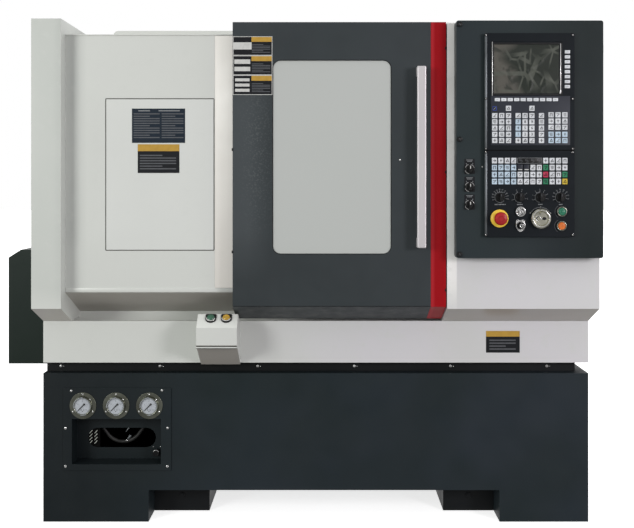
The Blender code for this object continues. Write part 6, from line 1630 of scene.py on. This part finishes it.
def gauge_hose():
    """The rubber hose between the outer gauges, on a smooth curve through its own points."""
    low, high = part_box("gauge_hose")
    left, right = (sum(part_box(GAUGE_NODES[i]), Vector()) / 2 for i in (0, 2))
    middle_x, half = (left.x + right.x) / 2, (right.x - left.x) / 2
    start_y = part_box(GAUGE_NODES[0])[1].y + 0.0003
    reach = high.y - HOSE_RADIUS - FRONT_Y
    sag = left.z - low.z - HOSE_RADIUS
    points = [Vector((left.x, start_y + step, left.z)) for step in (0, 0.009, 0.018)]
    for across, depth, drop in HOSE_SHARES:
        points.append(Vector((middle_x + across * half, FRONT_Y + reach * depth, left.z - sag * drop)))
    points += [Vector((right.x, start_y + step, left.z)) for step in (0.018, 0.009, 0)]
    route = []
    steps = 3
    for i in range(len(points) - 1):
        before, here, there, after = (points[max(0, min(len(points) - 1, i + k))] for k in (-1, 0, 1, 2))
        for step in range(steps):
            t = step / steps
            route.append(0.5 * (
                2 * here + (there - before) * t + (2 * before - 5 * here + 4 * there - after) * t * t
                + (3 * here - before - 3 * there + after) * t ** 3
            ))
    route.append(points[-1])
    curve = bpy.data.curves.new("hose", "CURVE")
    curve.dimensions = "3D"
    curve.bevel_depth = HOSE_RADIUS
    curve.bevel_resolution = 4
    curve.use_fill_caps = True
    spline = curve.splines.new("POLY")
    spline.points.add(len(route) - 1)
    for slot, point in zip(spline.points, route):
        slot.co = (*point, 1)
    curve.materials.append(MATERIALS["rubber"])
    hose = bpy.data.objects.new("rubber_hose", curve)
    bpy.context.scene.collection.objects.link(hose)
    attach(hose, "machine")
    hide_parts("gauge_hose")


# Rear and sides


# The radius and height of a hinge knuckle's outline
KNUCKLE_PROFILE = ((0, 0), (0.0055, 0), (0.0065, 0.001), (0.0065, 0.0285), (0.0055, 0.0295), (0, 0.0295))
# The cabinet's louvres: columns, rows in each of two groups, pitches, and the groups' heights
LOUVRE_COLUMNS = 3
LOUVRE_ROWS = 6
LOUVRE_PITCH_X = 0.16
LOUVRE_PITCH_Z = 0.035
LOUVRE_GROUPS = (0.10, 0.80)


CABINET_LOW, CABINET_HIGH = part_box("rear_cabinet")


def cabinet_hinges():
    """Three hinges with two knuckles and a leaf each, beside the cabinet's door."""
    low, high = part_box("rear_cabinet_door")
    hinges = Piece("cabinet_hinges", "machine", "machined_steel")
    for share in (0.12, 0.5, 0.88):
        z = low.z + (high.z - low.z) * share
        seat = facing(Vector((high.x + 0.0105, CABINET_HIGH.y + 0.0075, z)), UP)
        for start in (-0.030, 0.0005):
            knuckle = [(radius, start + rise) for radius, rise in KNUCKLE_PROFILE]
            hinges.add(lathe(knuckle, 20), "black", seat, smooth=True)
        leaf = facing(Vector((high.x + 0.0175, CABINET_HIGH.y, z)), BACK)
        hinges.add(slab(0.016, 0.056, 0, 0.003, 0.0008), "black", leaf)
    hinges.done()


def cabinet_screws():
    """Screws down both sides of the cabinet's back."""
    seats = []
    for share in (0.02, 0.2, 0.4, 0.6, 0.8, 0.98):
        z = CABINET_LOW.z + (CABINET_HIGH.z - CABINET_LOW.z) * share
        for x in (CABINET_LOW.x + 0.02, CABINET_HIGH.x - 0.012):
            seats.append(facing(Vector((x, CABINET_HIGH.y, z)), BACK))
    screws("cabinet_screws", "machine", "machined_steel", seats, 0.0055, "rail_steel")


def cabinet_louvres():
    """Two groups of louvres in the cabinet's back, each with a dark slit under it."""
    louvres = Piece("cabinet_louvres", "machine", "white_paint")
    for column in range(LOUVRE_COLUMNS):
        for group in LOUVRE_GROUPS:
            for row in range(LOUVRE_ROWS):
                x = CABINET_LOW.x + LOUVRE_PITCH_X + column * LOUVRE_PITCH_X
                z = CABINET_LOW.z + group + row * LOUVRE_PITCH_Z
                seat = facing(Vector((x, CABINET_HIGH.y, z)), BACK)
                louvres.add(slab(0.120, 0.0120, -0.0010, 0.0050, 0.0024), "white", seat)
                louvres.add(slab(0.112, 0.0030, -0.0010, 0.0040), "gap", seat, y=-0.0065)
    louvres.done()


def guard_screws():
    guard_low, guard_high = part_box("drive_guard")
    seats = [
        facing(Vector((x, guard_high.y, z)), BACK)
        for x in (guard_low.x + 0.02, guard_high.x - 0.02)
        for z in (guard_low.z + 0.03, guard_high.z - 0.09)
    ]
    screws("guard_screws", "machine", "machined_steel", seats, 0.0050, "rail_steel")


# Stage


def stage_floor():
    shape = bmesh.new()
    bmesh.ops.create_grid(shape, x_segments=1, y_segments=1, size=40.0)
    data = bpy.data.meshes.new("floor")
    shape.to_mesh(data)
    shape.free()
    finish = Finish("floor_paint", (0.90, 0.90, 0.90), 0.8)
    finish.tint(0.6, (0.88, 0.88, 0.88), 0.5)
    finish.set("Emission Color", (1, 1, 1, 1)).set("Emission Strength", 0.75)
    data.materials.append(finish.material)
    item = bpy.data.objects.new("floor", data)
    item.location = (0, 0, -0.0005)
    item.visible_diffuse = False
    item.visible_glossy = False
    bpy.context.scene.collection.objects.link(item)


def area_light(name, place, target, size, power, color):
    light = bpy.data.lights.new(name, "AREA")
    light.shape = "RECTANGLE"
    light.size, light.size_y = size
    light.energy = power
    light.color = color
    item = bpy.data.objects.new(name, light)
    item.location = place
    item.rotation_mode = "QUATERNION"
    item.rotation_quaternion = (Vector(target) - Vector(place)).to_track_quat("-Z", "Y")
    bpy.context.scene.collection.objects.link(item)


# The room's brightness in front, towards the ground and overhead, and the two lamps in front
ROOM_FRONT = 0.42
ROOM_GROUND = 0.52
ROOM_TOP = 0.95
LAMP_POWER = 72
LAMP_OUT = 3.2
LAMP_AWAY = 3.4
LAMP_RISE = 0.75


def studio():
    """A white room, dimmer in front of the machine and towards the ground, and two soft lamps in front."""
    world = bpy.data.worlds.new("studio")
    world.use_nodes = True
    tree = world.node_tree
    direction = tree.nodes.new("ShaderNodeTexCoord").outputs["Generated"]
    parts = tree.nodes.new("ShaderNodeSeparateXYZ")
    tree.links.new(direction, parts.inputs[0])
    levels = []
    for axis, low, high, level in (
        ("Y", -0.80, -0.15, ROOM_FRONT), ("Z", -0.35, -0.06, ROOM_GROUND), ("Z", 0.55, 0.30, ROOM_TOP),
    ):
        node = tree.nodes.new("ShaderNodeMapRange")
        tree.links.new(parts.outputs[axis], node.inputs["Value"])
        for name, value in (("From Min", low), ("From Max", high), ("To Min", level), ("To Max", 1.0)):
            node.inputs[name].default_value = value
        levels.append(node.outputs["Result"])
    product = levels[0]
    for level in levels[1:]:
        node = tree.nodes.new("ShaderNodeMath")
        node.operation = "MULTIPLY"
        tree.links.new(product, node.inputs[0])
        tree.links.new(level, node.inputs[1])
        product = node.outputs["Value"]
    tree.links.new(product, tree.nodes["Background"].inputs["Strength"])
    tree.nodes["Background"].inputs["Color"].default_value = (1, 1, 1, 1)
    bpy.context.scene.world = world
    target = Vector((MIDDLE_X, FRONT_Y, 0.95))
    for name, side, size, color in (
        ("left_lamp", -1, 1.3, (0.975, 1.0, 0.965)), ("right_lamp", 1, 1.0, (1.0, 0.960, 1.0)),
    ):
        place = target + Vector((side * LAMP_OUT, -LAMP_AWAY, LAMP_RISE))
        area_light(name, place, target, (size, size), LAMP_POWER, color)
    stage_floor()
    bpy.context.scene.view_settings.view_transform = "Standard"


# The photograph: 634 by 528 pixels, seen from 3 m in front of the stand at 1.071 m eye height
PHOTO_WIDTH = 634
PHOTO_HEIGHT = 528
VANISHING_X = 325
VANISHING_Y = 187
EYE_DISTANCE = 3.0
EYE_HEIGHT = 1.071
EYE_X = 0.0295
METRES_PER_PIXEL = 0.0032


def camera():
    data = bpy.data.cameras.new("camera")
    data.sensor_width = 36.0
    data.lens = EYE_DISTANCE / METRES_PER_PIXEL / PHOTO_WIDTH * data.sensor_width
    data.shift_x = (PHOTO_WIDTH / 2 - VANISHING_X) / PHOTO_WIDTH
    data.shift_y = (VANISHING_Y - PHOTO_HEIGHT / 2) / PHOTO_WIDTH
    item = bpy.data.objects.new("camera", data)
    item.location = at(EYE_X, -EYE_DISTANCE, EYE_HEIGHT)
    item.rotation_euler = (math.pi / 2, 0, 0)
    bpy.context.scene.collection.objects.link(item)
    bpy.context.scene.camera = item


def write_size():
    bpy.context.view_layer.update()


def main():
    paint_nodes()
    for build in (
        screen_unit_keys, key_unit_keys, lamp_windows, unit_edge_trim, key_membrane, display_edge_lines,
        display_sheet, selector_scales, knobs,
        mode_switch_plates, button_rings, button_faces, handwheel_details, estop_details, panel_locks,
        window_seal, door_buffers, door_plates, cover_plates, recess_folds, access_cover_gap, stand_top_rim,
        plinth_bolts, button_box_details,
    ):
        build()
    for number, node in enumerate(GAUGE_NODES, 1):
        gauge(node, number)
    for build in (
        gauge_panel_screws, slot_vents, hose_fittings, regulator_details, gauge_hose,
        cabinet_hinges, cabinet_screws, cabinet_louvres, guard_screws, studio, camera, write_size,
    ):
        build()


main()
